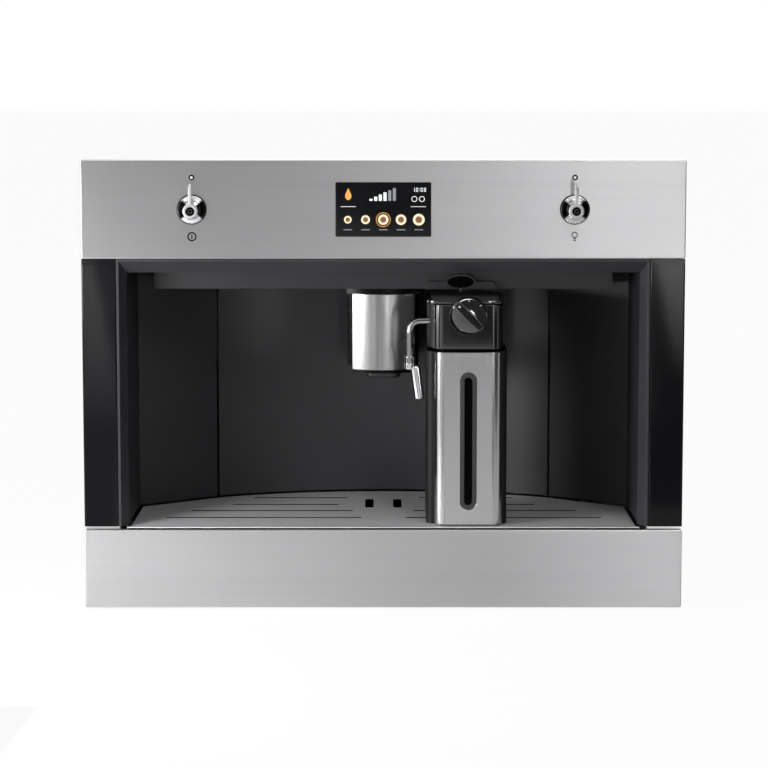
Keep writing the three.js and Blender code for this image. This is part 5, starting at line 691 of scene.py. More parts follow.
def add_finishes():
    """Makes every finish, from the sidebar's colours where it has them."""
    look = bpy.context.scene.coffee_machine_look
    steel, black, bay = tuple(look.steel), tuple(look.gloss), tuple(look.bay)
    void = (0.001, 0.001, 0.001)
    FINISHES.update(
        brushed_steel=brushed("panel_steel", steel, look.steel_roughness, "X"),
        spout_steel=brushed("spout_steel", tint(steel, 0.8), 0.22, "Z", 0.0, 0.15),
        jug_steel=brushed("jug_steel", tint(steel, 0.92), 0.17, "Z", 0.0),
        grille_steel=satin("grille_steel", (0.62, 0.61, 0.62), 0.4),
        lever_steel=satin("lever_steel", (0.5, 0.5, 0.51), 0.5),
        chrome=polished("bright_chrome", (0.86, 0.86, 0.88), 0.03),
        tube_chrome=polished("tube_chrome", (0.4, 0.4, 0.41), 0.05),
        galvanised_sheet=zinc_coated("zinc_coated_sheet", (0.4, 0.41, 0.43)),
        cast_alloy=cast("cast_alloy", (0.36, 0.36, 0.37)),
        gloss_black=lacquered("gloss_black", black, 0.05, 0.0, 0.16),
        lid_black=lacquered("lid_black", black, 0.06, 1.0, 0.9),
        band_black=lacquered("spout_band_black", (0.002, 0.002, 0.002), 0.25, 0.0, 0.1),
        # black of the real black parts, also laid on as painted shadow round the dishes, in the grille's
        # slots and under its front lip
        eye_black=lacquered("hood_window", void, 0.3, 0.0, 0.02),
        pane_black=moulded("window_pane", void, 0.3, 900.0, 0.1, 0.02),
        # painted light: the lid's top skin is a lighter grey than its black sides, as where light falls on
        # it from above
        lid_top=moulded("lid_top", (0.12, 0.115, 0.12), 0.4, 1500.0, 0.2),
        frame_grey=moulded("window_frame", (0.04, 0.038, 0.04), 0.4, 1500.0, 0.2, 0.3),
        jug_black=moulded("jug_moulding", (0.006, 0.006, 0.007), 0.5, 1500.0, 0.2, 0.2),
        satin_black=moulded("bay_plastic", bay, look.bay_roughness),
        door_black=moulded("door_plastic", tint(bay, 1.15), look.bay_roughness - 0.06),
        matt_black=moulded("matt_black_moulding", (0.012, 0.012, 0.013), 0.62, 900.0, 0.35),
        print_white=moulded("printed_white", (0.6, 0.6, 0.6), 0.5),
        circuit_board=circuit("circuit_board", (0.02, 0.09, 0.05)),
        light_pipe=frosted_lens("frosted_lens", (0.85, 0.87, 0.9), 0.05),
        clear_tank=smoked("smoked_clear_plastic", (0.6, 0.64, 0.67)),
        screen_glass=screen_face("screen_glass", (0.004, 0.004, 0.005)),
        white_sign=lit("sign_white", (0.85, 0.87, 0.88), 0.9),
        grey_sign=lit("sign_grey", (0.3, 0.31, 0.33), 0.6),
        amber_sign=lit("sign_amber", (0.75, 0.36, 0.08), 0.9),
        cream_sign=lit("sign_cream", (0.85, 0.72, 0.5), 0.85),
        brown_sign=lit("sign_brown", (0.2, 0.09, 0.04), 0.8),
    )


def finish_of(name):
    if name not in FINISHES:
        add_finishes()
    return FINISHES[name]


def dress(*nodes):
    """Gives CAD nodes that stay their record slot's finish."""
    for node in nodes:
        obj = frame["nodes"][node]
        material = finish_of(SLOT_OF[node])
        if not obj.material_slots:
            obj.data.materials.append(material)
        for slot in obj.material_slots:
            slot.material = material


# ------------------------------------------------------------------ what a user may change
def number(name, description, default, low, high, **more):
    return bpy.props.FloatProperty(
        name=name, description=description, default=default, min=low, max=high, **more
    )


def length(name, description, default, low, high):
    """A length given in millimetres."""
    return number(name, description, default * MM, low * MM, high * MM, unit="LENGTH", precision=5)


def colour_of(name, description, default):
    return bpy.props.FloatVectorProperty(
        name=name, description=description, default=default, subtype="COLOR", size=3, min=0, max=1
    )


class CoffeeMachineLook(bpy.types.PropertyGroup):
    """Colours and sheens of the machine's finishes."""

    steel: colour_of("Steel", "Colour of the brushed steel", (0.56, 0.55, 0.56))
    steel_roughness: number(
        "Steel roughness", "Mean roughness of the panels", 0.34, 0.1, 0.8, subtype="FACTOR"
    )
    gloss: colour_of("Gloss black", "Colour of the uprights and the jug's lid", (0.006, 0.006, 0.007))
    bay: colour_of("Bay", "Colour of the bay's plastic", (0.017, 0.015, 0.018))
    bay_roughness: number(
        "Bay roughness", "Mean roughness of the bay's plastic", 0.46, 0.1, 0.9, subtype="FACTOR"
    )


class CoffeeMachineSizes(bpy.types.PropertyGroup):
    """Sizes of the finer pieces."""

    edge: length("Edge", "Softness of moulded edges", 0.3, 0.05, 1)
    sign_height: length("Sign height", "How far printed signs stand out", 0.06, 0.01, 0.2)
    grip_rise: length("Grip", "Height of the bar on the froth selector", 4.5, 2, 7)


class CoffeeMachineStudio(bpy.types.PropertyGroup):
    """Camera and lamps."""

    elevation: number(
        "Elevation", "Camera above the horizontal", radians(7.5), 0, 1.5, subtype="ANGLE"
    )
    distance: number("Distance", "Camera to the point it looks at", 3.08, 1, 10, unit="LENGTH")
    lens: number("Lens", "Focal length on a 36 mm sensor", 141.6, 20, 300, unit="CAMERA")
    lamp_level: number("Lamp level", "Multiplies every lamp", 1.0, 0.0, 4.0, subtype="FACTOR")


def size_of(name):
    """One of the sidebar's sizes, in millimetres."""
    return getattr(bpy.context.scene.coffee_machine_sizes, name) / MM


# ------------------------------------------------------------------ studio, in metres
# upright cards behind the camera: name, (x, y) of two lower corners, heights of foot and top, brightness
CARDS = (
    ("middle", (-0.75, -5), (0.52, -5), 0, 6, 0.1),
    ("left", (-2.8, -5), (-0.75, -5), 0, 6, 0.25),
    ("right", (0.54, -5), (0.82, -5), 0, 0.4, 23.0),
    ("above_right", (0.52, -5), (0.82, -5), 0.4, 6, 0.1),
    ("fence", (0.24, -2.2), (0.4, -2.2), 0, 0.18, 0.01),
    ("far_right", (0.82, -5), (3.4, -5), 0, 2.6, 0.12),
    ("side_right", (3.4, -5), (3.4, 1), 0, 2.6, 0.08),
)
# cards nearer than the camera, mirrored by the uprights: name, x of the four corners from the lower left
# round, full brightness, height at which it starts to grow
WEDGES = (
    ("wedge_left", (-0.42, -0.33, -0.4, -0.42), 4.6, 0.02),
    ("wedge_right", (0.4255, 0.43, 0.43, 0.364), 7.0, 0.09),
)
WEDGE_Y = -1.29
WEDGE_FOOT, WEDGE_TOP, WEDGE_FULL = 0.01, 0.255, 0.25
# name, place, point it faces, width, height, power in watts
LAMPS = (
    ("key_left", (-2.3, -2.3, 1.0), (0.0, -0.1, 0.2), 2.0, 2.2, 15),
    ("strip_left", (-2.6, -0.9, 0.6), (0.0, -0.9, 0.4), 1.4, 1.6, 26),
    ("top", (0.0, -0.6, 2.6), (0, 0, 0.3), 2.2, 1.4, 8),
    ("back", (0.4, 2.8, 1.8), (0, 0.1, 0.3), 2.0, 2.0, 12),
    ("floor_left", (-0.6, -0.6, 0.3), (-0.34, -0.42, 0.0), 0.2, 0.2, 5),
    ("fill_right", (1.0, -3.0, 2.2), (0.2, -0.1, 0.1), 0.8, 0.8, 24),
)
# mats that darken the floor in mirrors, each by its corners in plan
MATS = (
    ("mat_spout", ((0.7, -1.35), (1.3, -0.7), (3.0, -1.5), (1.55, -3.1))),
    ("mat_lid", ((0.085, -2.3), (0.32, -2.3), (0.5, -3.9), (0.1, -3.9))),
    ("mat_near_left", ((-0.16, -0.97), (-0.25, -0.97), (-0.45, -1.57), (-0.31, -1.57))),
    ("mat_near_right", ((0.235, -0.97), (0.39, -0.97), (0.658, -1.57), (0.384, -1.57))),
    ("mat_column_left", ((-0.3, -0.6), (-0.37, -0.6), (-0.6, -2.9), (-0.48, -2.9))),
    ("mat_column_right", ((0.31, -0.79), (0.375, -0.79), (0.66, -3.4), (0.54, -3.4))),
    ("mat_left", ((-0.65, -1.05), (-1.07, -1.05), (-3.5, -3.1), (-2.15, -3.1))),
)
FLOOR_HALF = 12.0
FLOOR_GAP = 0.5 * MM  # under the machine
MAT_RISE = 2 * MM
CAMERA_TARGET = Vector((0.0007, -0.110, 0.2175))
SENSOR = 36.0


# ------------------------------------------------------------------ operators
class MachineOperator(bpy.types.Operator):
    """Builds one group of pieces."""

    bl_options = {"REGISTER"}

    def execute(self, context):
        self.build()
        return {"FINISHED"}


class COFFEE_OT_stage(MachineOperator):
    """Floor, background, lamps and camera"""

    bl_idname = "coffee.stage"
    bl_label = "Stage"

    def build(self):
        scene = bpy.context.scene
        studio = scene.coffee_machine_studio
        self.background(scene)
        self.floor()
        self.cards()
        for lamp in LAMPS:
            self.lamp(studio.lamp_level, *lamp)
        self.camera(scene, studio)
        scene.view_settings.view_transform = "Standard"

    def background(self, scene):
        """White to the camera, in mirrors and through glass; a dimmer room lights the matt surfaces."""
        scene.world = bpy.data.worlds.new("studio")
        scene.world.use_nodes = True
        sky = Nodes(scene.world.node_tree)
        path = sky.node("ShaderNodeLightPath").outputs
        seen = path["Is Camera Ray"]
        for flag in ("Is Glossy Ray", "Is Transmission Ray"):
            seen = sky.node("ShaderNodeMath", {0: seen, 1: path[flag]}, operation="MAXIMUM").outputs[0]
        room = sky.node("ShaderNodeBackground", {"Color": (0.9, 0.92, 0.95), "Strength": 0.2})
        white = sky.node("ShaderNodeBackground", {"Color": (1, 1, 1)})
        sky.node("ShaderNodeOutputWorld", {"Surface": sky.between(seen, room, white)})

    def floor(self):
        """Pale and matt to the lamps, near white to the camera and through glass, a fifth so in mirrors."""
        f = Finish("pale_floor")
        grain = f.noise(3.0, 2.0, 0.5)
        matt = f.node("ShaderNodeBsdfDiffuse", {"Color": f.mixed(grain, (0.86,) * 3, (0.9,) * 3)})
        white = f.node("ShaderNodeEmission", {"Color": (1, 1, 1), "Strength": 1.0})
        path = f.node("ShaderNodeLightPath").outputs
        rays = ("Camera", "Glossy", "Transmission")
        camera, mirror, glass = (Value(f, path[f"Is {ray} Ray"]) for ray in rays)
        seen = (camera * 0.95 + mirror * 0.2 + glass * 0.95).clamped()
        f.surface(f.between(seen, matt, white))
        z = CAD_BOX[0][2] - FLOOR_GAP
        square = box_loop(-FLOOR_HALF, FLOOR_HALF, -FLOOR_HALF, FLOOR_HALF)
        self.sheet("floor", [(x, y, z) for x, y in square], f.material)
        for name, corners in MATS:
            f = Finish(name)
            felt = f.mixed(f.noise(40.0, 3.0, 0.5), (0.015,) * 3, (0.03,) * 3)
            f.seen_in_mirrors(f.node("ShaderNodeBsdfDiffuse", {"Color": felt}))
            self.sheet(name, [(x, y, z + MAT_RISE) for x, y in corners], f.material)

    def cards(self):
        """Upright cards behind the camera and beside it, which the steel and the glossy pieces mirror."""
        for name, first, second, foot, top, level in CARDS:
            self.card(name, [(*first, foot), (*second, foot), (*second, top), (*first, top)], level)
        for name, across, level, start in WEDGES:
            heights = (WEDGE_FOOT, WEDGE_FOOT, WEDGE_TOP, WEDGE_TOP)
            self.card(name, [(x, WEDGE_Y, z) for x, z in zip(across, heights)], level, start)

    def card(self, name, corners, level, start=None):
        f = Finish(f"card_{name}")
        cloth = f.mixed(f.noise(0.8, 2.0, 0.5), (0.92,) * 3, (1, 1, 1))
        if start is not None:
            level = ((f.axis(2) - start) * (1 / (WEDGE_FULL - start))).clamped() * level
        f.seen_in_mirrors(f.node("ShaderNodeEmission", {"Color": cloth, "Strength": level}))
        self.sheet(f"card_{name}", corners, f.material)

    def sheet(self, name, corners, material):
        mesh = bpy.data.meshes.new(name)
        mesh.from_pydata(corners, [], [(0, 1, 2, 3)])
        mesh.materials.append(material)
        placed(name, mesh)

    def lamp(self, level, name, place, target, width, height, power):
        light = bpy.data.lights.new(name, "AREA")
        light.shape = "RECTANGLE"
        light.size, light.size_y = width, height
        light.energy = power * level
        obj = placed(name, light)
        obj.location = place
        obj.rotation_euler = (Vector(target) - Vector(place)).to_track_quat("-Z", "Y").to_euler()

    def camera(self, scene, studio):
        data = bpy.data.cameras.new("camera")
        data.lens = studio.lens
        data.sensor_width = SENSOR
        data.sensor_fit = "HORIZONTAL"
        data.clip_end = 100.0
        obj = placed("camera", data)
        rise = studio.elevation
        obj.location = CAMERA_TARGET + Vector((0, -cos(rise), sin(rise))) * studio.distance
        obj.rotation_euler = (pi / 2 - rise, 0, 0)
        scene.camera = obj


class COFFEE_OT_body(MachineOperator):
    """Cradle, rails and sheet-metal body"""

    bl_idname = "coffee.body"
    bl_label = "Body"

    def build(self):
        dress("niche_cradle", "base_pan", "rear_wall", "top_cover", "front_frame")
        for end in ENDS:
            dress(f"rail_outer_{end}", f"rail_middle_{end}", f"rail_inner_{end}", f"side_wall_{end}")


class COFFEE_OT_works(MachineOperator):
    """Brewing group, grinder, hopper, tank and the other works"""

    bl_idname = "coffee.works"
    bl_label = "Works"

    def build(self):
        dress("brew_unit", "grinder", "bean_hopper", "hopper_lid", "boiler", "pump", "power_board")
        dress("power_inlet", "tank_shelf", "water_tank", "control_board", "switch_left", "switch_right")
        dress("control_panel_carrier", "lower_panel_core", "grounds_bin", "drip_tray")


class COFFEE_OT_panels(MachineOperator):
    """The two brushed steel panels"""

    bl_idname = "coffee.panels"
    bl_label = "Steel panels"

    def build(self):
        refined("control_panel", "brushed_steel", "machine")
        refined("lower_panel", "brushed_steel", "drip_drawer")


class COFFEE_OT_screen(MachineOperator):
    """Screen glass and its signs"""

    bl_idname = "coffee.screen"
    bl_label = "Screen"

    def build(self):
        low, high, (x, _, z), _ = extent("display_glass")
        face, chamfer = low[1], 0.25
        outline = rectangle(low[0], high[0], low[2], high[2], 1.2)
        inner = rectangle(low[0] + chamfer, high[0] - chamfer, low[2] + chamfer, high[2] - chamfer, 1.0)
        levels = ((outline, high[1]), (outline, face + chamfer), (inner, face))
        glass = stacked([in_front(loop, y) for loop, y in levels])
        piece("screen_cover", glass, "screen_glass", "display_glass", smooth=60)
        self.signs(x, z, face)

    def signs(self, x, z, face):
        """A clock of bars, rising bars, a drop, rings and discs, each a loop given a small height."""
        rise = size_of("sign_height")
        signs = Signs(x, z, face - rise * 0.1, face - rise)
        bars = [signs.bar(4.6 * i - 13.6, 4.6 * i - 10.6, 8.6, 10.6 + 2.1 * i) for i in range(6)]
        white = signs.digit(29.0, 17.6, "bc") + signs.digit(32.2, 17.6, "abcdef")
        white += [signs.bar(35.2, 35.8, v, v + 0.6) for v in (18.5, 20.3)]
        white += signs.digit(36.8, 17.6, "abcdef") + signs.digit(40.0, 17.6, "abcdefg") + bars[:4]
        white += [signs.bar(u, u + 15.0, 2.6, 3.1) for u in (-42.0, 27.0)]
        white += [signs.ring(u, 10.4, 2.2, 2.8, 36) for u in (38.0, 30.6)]
        drop = [(-34.5, 21.4), (-30.6, 12.6), (-34.5, 8.2), (-38.4, 12.6)]
        amber = [signs.plate(soft_corners(drop, [0.2, 3.2, 3.2, 3.2])), signs.ring(0, -10.0, 6.6, 7.2, 36)]
        grey, cream, brown = bars[4:], [], []
        for u, radius in ((-35.0, 3.8), (-17.5, 4.4), (0.0, 5.2), (17.5, 5.2), (35.0, 5.8)):
            cream.append(signs.plate(circle(u, -10.0, radius, 40)))
            heart = signs.plate(circle(u, -10.0, radius * 0.56, 32))
            brown.append(moved(heart, (0, -rise * 1.2, 0)))
            grey.append(signs.bar(u - 4.2, u + 4.2, -20.4, -19.5))
        groups = {"white": white, "grey": grey, "amber": amber, "cream": cream, "brown": brown}
        for tone, shapes in groups.items():
            piece(f"signs_{tone}", joined(*shapes), f"{tone}_sign")


class COFFEE_OT_levers(MachineOperator):
    """Levers with their dishes, indicator lights and printed signs"""

    bl_idname = "coffee.levers"
    bl_label = "Levers"

    def build(self):
        for end in ENDS:
            self.dish(end)
            self.lever(end, f"lever_{end}")
            self.indicator(end)
        self.printed()

    def dish(self, end):
        """Turned profile: rim, sunk bowl and the collar round the shaft; a black ring round it is a painted
        shadow where the dish meets the panel.
        """
        node, name = f"rosette_{end}", f"painted_reflection_dish_{end}"
        _, high, (x, _, z), (r, _, _) = extent(node)
        base, bore, h = high[1], 3.4, 4.0
        profile = eased(
            [
                (bore, 0, 0), (r, 0, 0.3), (r, h - 0.9, 0.5), (r * 0.955, h, 0.5), (r * 0.9, h - 0.4, 0.5),
                (r * 0.74, h - 1.9, 1.4), (r * 0.56, h - 2.6, 1.2), (bore + 2.4, h - 0.6, 0.9),
                (bore + 1.6, h + 6, 0.4), (bore, h + 6, 0), (bore, 0, 0),
            ]
        )
        dish = facing(turned(profile, 128), x, base, z)
        # the dish's colour has a painted reflection: light above and below its middle, dark at its sides
        FINISHES[name] = spun_with_painted_reflection(name, x * MM, z * MM)
        piece(f"dish_{end}", dish, name, node, smooth=50)
        # painted shadow: a black ring where the dish meets the panel
        gap_shadow = hoop(x, z, r - 0.1, r + 0.9, base - 1.2, base, 96)
        piece(f"dish_painted_shadow_ring_{end}", gap_shadow, "eye_black")

    def lever(self, end, node):
        """A turned hub on its shaft, and a finger whose section is carried up a path that bends forward."""
        low, high, (x, _, _), _ = extent(node)
        r, length, shaft = 7.4, 8.0, 3.0
        z, front = low[2] + r, low[1] + 4
        back = front + length
        tail = back - high[1]
        hub = eased(
            [
                (0, tail, 0), (shaft, tail, 0.4), (shaft, 0, 0.3), (r - 1.2, 0, 0.5), (r, 1.4, 0.7),
                (r, length - 0.8, 0.5), (r - 0.8, length, 0.4), (r * 0.62, length, 0.3),
                (r * 0.54, length - 1.3, 0.6), (0, length - 1.3, 0),
            ],
            5,
        )
        near, tip = front + 3.2, high[2] - 1.9
        corners = [(x, near, z + 4.6), (x, near, tip), (x, low[1] + 0.4, tip)]
        path = path_of(corners, [0, 6.5, 0], 14)
        section = rectangle(-1.65, 1.65, -1.8, 1.8, 0.8, 5)
        taper = np.linspace(1.15, 0.95, len(path))[:, None, None]
        shape = joined(facing(turned(hub), x, back, z), swept(section * taper, path, (1, 0, 0)))
        piece(f"lever_hub_{end}", shape, "lever_steel", node, node, smooth=50)
        eye = slab(circle(x, z, r * 0.58), front + 1.32, front - 0.02)
        piece(f"lever_eye_{end}", eye, "eye_black", body=node)
        ring = hoop(x, z, 1.5, 2.3, front - 0.12, front)
        piece(f"lever_ring_{end}", ring, "frame_grey", body=node)

    def indicator(self, end):
        """A domed lens in a dark ring."""
        node = f"indicator_{end}"
        low, high, (x, _, z), (half, _, _) = extent(node)
        base, r, height = high[1], half * 0.55, high[1] - low[1]
        dome = eased([(0, 0, 0), (r, 0, 0), (r, height - 0.3, 0.5), (0, height, 0)])
        lens = facing(turned(dome, 48), x, base, z)
        piece(f"indicator_lens_{end}", lens, "light_pipe", node, smooth=60)
        rim = hoop(x, z, r, half + 0.2, low[1] + 0.35, base)
        piece(f"indicator_rim_{end}", rim, "eye_black")

    def printed(self):
        """Signs printed under the levers: a circle with a bar, and a lamp outline."""
        low, _, (_, _, z), _ = extent("control_panel")
        rise = size_of("sign_height")
        middles = (extent(f"lever_{end}")[2][0] for end in ENDS)
        left, right = (Signs(x, z - 26.8, low[1] + rise * 0.2, low[1] - rise) for x in middles)
        shapes = [left.ring(0, 0, 3.2, 4.6), left.bar(-0.6, 0.6, -2.1, 2.1), right.ring(0, 1.7, 2.2, 3.1)]
        shapes += [right.bar(-1.3, 1.3, height, height + 0.9) for height in (-2.6, -4.2)]
        piece("printed_signs", joined(*shapes), "eye_black")


class COFFEE_OT_bay(MachineOperator):
    """Uprights, bay surround, service door, header and lamps"""

    bl_idname = "coffee.bay"
    bl_label = "Bay"

    def build(self):
        edge = size_of("edge")
        for end in ENDS:
            refined(f"column_{end}", "gloss_black", "machine")
        for node in ("bay_surround", "header_box", "steam_nozzle", "spout_guide"):
            smooth = 24 if node == "header_box" else 32
            refined(node, "satin_black", "machine", edge, smooth=smooth)
        dress("bay_lamp_left", "bay_lamp_right")
        self.hood_window()
        self.door()

    def hood_window(self):
        """A dark oval pane a little behind the opening of the hood above the jug."""
        low = extent("header_box")[0]
        x, z = extent("jug_cover")[2][0] - 7, low[2] + 7.2
        half_width, half_height = 14, 6.2
        loop = circle(x, z, half_width, 64, half_height / half_width)
        pane = slab(loop, low[1] + 1.6, low[1] + 2.6)
        piece("hood_window", pane, "eye_black")

    def door(self):
        """The door's two faces are arcs about one centre; the section is a closed loop in plan, carried
        up. Two ribs stand on its back."""
        low, high, _, _ = extent("service_door")
        wall, crown = 3, 34.5
        radius = radius_of(173, 40)
        centre = crown - radius
        span = asin(high[0] / (radius + wall / 2))
        angle = np.linspace(-span, span, 97)
        loop = np.concatenate([arc(radius, centre, angle), arc(radius + wall, centre, angle)[::-1]])
        shapes = [column_of(loop, low[2], high[2])]
        for sign in (-1, 1):
            rib = box_loop(sign * 58, sign * 62, high[1] - 9.5, high[1])
            shapes.append(column_of(rib, low[2] + 12, high[2] - 12))
        piece("service_door_leaf", joined(*shapes), "door_black", "service_door")


class COFFEE_OT_spout(MachineOperator):
    """Coffee spout: carriage, curved cover and twin outlet"""

    bl_idname = "coffee.spout"
    bl_label = "Spout"

    def build(self):
        refined("spout_carriage", "band_black", "spout", size_of("edge"), 28)
        self.cover()
        self.outlet()

    def cover(self):
        """The front is an arc of given bulge over the cover's width; the sheet's section is carried up."""
        low, high, _, _ = extent("spout_cover")
        half, back, sheet = high[0], high[1], 1.2
        radius = radius_of(half, 9)
        centre = low[1] + radius
        inner_half, inner_radius = half - sheet, radius - sheet
        span, inner_span = asin(half / radius), asin(inner_half / inner_radius)
        outside = arc(radius, centre, np.linspace(-span, span, 65), -1)
        inside = arc(inner_radius, centre, np.linspace(inner_span, -inner_span, 65), -1)
        ends = [(half, back), (inner_half, back)]
        loop = np.concatenate([[(-half, back)], outside, ends, inside, [(-inner_half, back)]])
        shape = column_of(loop, low[2], high[2])
        slot, node = "brushed_steel", "spout_cover"
        piece("spout_cover_sheet", shape, "spout_steel", node, "spout", bevel=0.35)

    def outlet(self):
        """A skirt over superellipses, and two thin-lipped pipes turned about their own axes."""
        low, high, (_, y, _), (hx, hy, _) = extent("spout_nozzles")

        def skirt(inset):
            return oblong(0, y, hx - inset, hy - inset, 96, 5)

        top = high[2] - low[2]
        rows = [(0, 2.2), (0.3, 1.2), (1.3, 0.3), (2.6, 0), (6.2, 0), (6.25, 3), (top, 3)]
        pipe = eased([(2.6, 5, 0), (3.4, 5, 0), (3.4, -1.6, 0.3), (2.6, -1.6, 0.3), (2.6, 5, 0)], 4)
        pipes = [moved(turned(pipe, 40), (x, y, low[2])) for x in (-11, 11)]
        shape = joined(layered(skirt, low[2], rows), *pipes)
        piece("spout_outlets", shape, "satin_black", "spout_nozzles", "spout", smooth=45)


class COFFEE_OT_jug(MachineOperator):
    """Milk jug, its steel cover, window, lid and froth selector"""

    bl_idname = "coffee.jug"
    bl_label = "Milk jug"

    def build(self):
        refined("jug_body", "jug_black", "milk_jug", size_of("edge"), 40)
        self.cover()
        self.window()
        self.lid()
        self.knob()

    def cover(self):
        """A U-shaped sheet: a flat front ring between a rectangle and a long slot, and bent sides."""
        low, high, (x, _, _), (half, _, _) = extent("jug_cover")
        corner, slot_half, across, up = 10.5, 8.3, 24, 12
        flat = half - corner
        turn = np.linspace(0, pi / 2, 13)
        side_x = np.append(flat + corner * np.sin(turn), half)
        side_y = np.append(low[1] + corner - corner * np.cos(turn), high[1])
        shapes = []
        for sign in (-1, 1):
            bend = np.stack([x + sign * side_x, side_y], -1)
            wall = np.concatenate([in_plan(bend, low[2]), in_plan(bend, high[2])])
            shapes.append((wall, grid_faces(2, len(bend), False)))
        foot, top = low[2] + 15.5 + slot_half, low[2] + 154.5 - slot_half
        angle = np.linspace(0, pi, across)
        half_round = slot_half * np.stack([np.cos(angle), np.sin(angle)], -1)
        slot = [
            (0, foot) - half_round,
            np.linspace((slot_half, foot), (slot_half, top), up),
            (0, top) + half_round,
            np.linspace((-slot_half, top), (-slot_half, foot), up),
        ]
        corners = box_loop(-flat, flat, low[2], high[2])
        sides = zip(corners, corners[1:] + corners[:1], (across, up, across, up))
        border = [np.linspace(start, end, count) for start, end, count in sides]
        rings = [in_front(np.concatenate(loop) + (x, 0), low[1]) for loop in (border, slot)]
        shapes.append(banded(rings))
        self.sheet("jug_cover_sheet", joined(*shapes), 1, "jug_steel", "jug_cover")

    def sheet(self, name, shape, thickness, finish, node):
        mesh = mesh_of(name, shape, open_sheet=True)
        obj = seated(name, mesh, finish, "milk_jug", node, 40, flat=False)
        wall = obj.modifiers.new("wall", "SOLIDIFY")
        wall.thickness = thickness * MM
        wall.offset = -1.0
        bevelled(obj, 0.25, 50, segments=2)

    def window(self):
        """A frame between two long slots, and the dark pane sunk in it."""
        low, high, (x, _, _), (half, _, _) = extent("jug_window")
        face, back, inner = low[1], high[1], 4.2

        def slot(half_width, foot, top, inset):
            half_width -= inset
            u0, u1, radius = x - half_width, x + half_width, half_width - 0.01
            return rectangle(u0, u1, foot + inset, top - inset, radius, 16)

        outer, bevel = (slot(half, low[2], high[2], inset) for inset in (0, 0.8))
        foot, top = low[2] + 4.2, high[2] - 5.0
        lip, floor = (slot(inner, foot, top, inset) for inset in (0, 0.4))
        profile = [
            (outer, back), (outer, face + 0.3), (bevel, face), (lip, face + 0.1), (floor, face + 1.2),
            (floor, back), (outer, back),
        ]
        rim = banded([in_front(loop, depth) for loop, depth in profile])
        piece("jug_window_frame", rim, "frame_grey", "jug_window", "milk_jug")
        pane = slab(floor, back - 0.1, face + 1.0)
        piece("jug_window_pane", pane, "pane_black", body="milk_jug")

    def lid(self):
        """A wide superellipse block behind, a narrower round-cornered face with a chamfered brow before
        it, a thin roof over both and a skirt that hangs inside the jug. Heights are from the top."""
        low, high, (x, y, _), (hx, hy, _) = extent("jug_lid")
        front, back, top = low[1], high[1], high[2]
        face_x, face_half = x + 1.7, 33.7
        block_front, block_back = front + 12, back - 0.5
        block_y, block_half = (block_front + block_back) / 2, (block_back - block_front) / 2

        def block(inset):
            return oblong(x, block_y, hx - 1 - inset, block_half - inset, 128, 8)

        def face(inset):
            half = face_half - inset
            return rectangle(face_x - half, face_x + half, front + inset, front + 32, 9 - inset, 12)

        def roof(inset):
            return oblong(x, y + 1, hx - inset, hy - 1 - inset, 128, 8)

        foot = [(-48.8, 0.5), (-48.65, 0.15), (-48.3, 0)]
        block_rows = foot + [(-4.7, 0), (-4.4, 0.3), (-3.8, 0.3)]
        face_rows = foot + [(-5.4, 0), (-4.9, 0.25), (-4.4, 0.9)]
        roof_rows = [(-3.9, 1.0), (-3.6, 0.3), (-3.2, 0), (-1.2, 0), (-0.6, 0.2), (-0.15, 0.7), (0, 1.4)]
        top_rows = [(-0.2, 5.0), (0.05, 5.0), (0.2, 5.4)]
        hanging = oblong(x + 1.3, y + 4, 28, hy - 12, 64, 8)
        skirt = column_of(hanging, low[2], top - 47.8)
        for name, shape, finish, slot, stands_for in (
            ("block", layered(block, top, block_rows), "jug_black", "gloss_black", "jug_lid"),
            ("face", layered(face, top, face_rows), "lid_black", "gloss_black", None),
            ("roof", joined(layered(roof, top, roof_rows), skirt), "lid_black", "gloss_black", None),
            # painted light: the top skin is a lighter grey than the black lid beneath it, as lit from above
            ("top", layered(roof, top, top_rows), "lid_top", "satin_black", None),
        ):
            piece(f"jug_lid_{name}", shape, finish, stands_for, "milk_jug", smooth=50)

    def knob(self):
        """A turned disc whose face leans back from the grip, a shaft behind it, and a grip whose half
        width bulges as a parabola along its length."""
        low, high, (x, _, z), (_, _, r) = extent("froth_knob")
        depth, rise = 8.5, size_of("grip_rise")
        base = low[1] + 13
        face, tail = base - depth, base - high[1]
        profile = eased(
            [
                (0, tail, 0), (4, tail, 0.3), (4, 0, 0), (r - 0.4, 0, 0.4), (r, 1.2, 0.6),
                (r, depth - 2.0, 1.0), (r - 1.5, depth - 0.3, 1.0), (r - 3.0, depth, 0.6), (0, depth, 0),
            ]
        )
        points, faces = turned(profile, 128)
        from_grip = np.abs(points[:, 0] + points[:, 1]) / sqrt(2)
        points[:, 2] -= np.where(points[:, 2] > depth * 0.9, from_grip * 0.24, 0.0)
        t = np.linspace(-1, 1, 33)
        along, wide = t * (r - 1.4), 4.3 * (1.1 - 0.32 * t**2)
        grip = np.stack([np.append(along, along[::-1]), np.append(-wide, wide[::-1])], -1)
        tilt = -pi / 4
        spin = np.array([[cos(tilt), sin(tilt)], [-sin(tilt), cos(tilt)]])
        rings = []
        for height, share in ((0.0, 1.0), (rise - 1.1, 0.96), (rise - 0.4, 0.9), (rise, 0.76)):
            narrowed = grip * (1 - (1 - share) * 0.24, share)
            rings.append(toward_front(in_plan(narrowed @ spin, height), x, face + 0.3, z))
        shape = joined(facing((points, faces), x, base, z), stacked(rings))
        piece("froth_selector", shape, "lid_black", "froth_knob", "froth_knob")
        marks = []
        for u, v, lean in ((0, 15.2, 0), (11.6, 10.6, -0.8)):
            c, s = cos(lean), sin(lean)
            loop = rectangle(-0.35, 0.35, -1, 1, 0.2, 4) @ [[c, s], [-s, c]]
            marks.append(slab(loop + (x + u, z + v), face + 0.02, face - 0.06))
        dot = rectangle(-1.1, 1.1, -0.9, 0.9, 0.4, 4) @ spin
        front = face - rise + 0.2
        marks.append(slab(dot + (x - 9.6, z + 9.6), front + 0.15, front))
        piece("selector_marks", joined(*marks), "print_white", body="froth_knob")


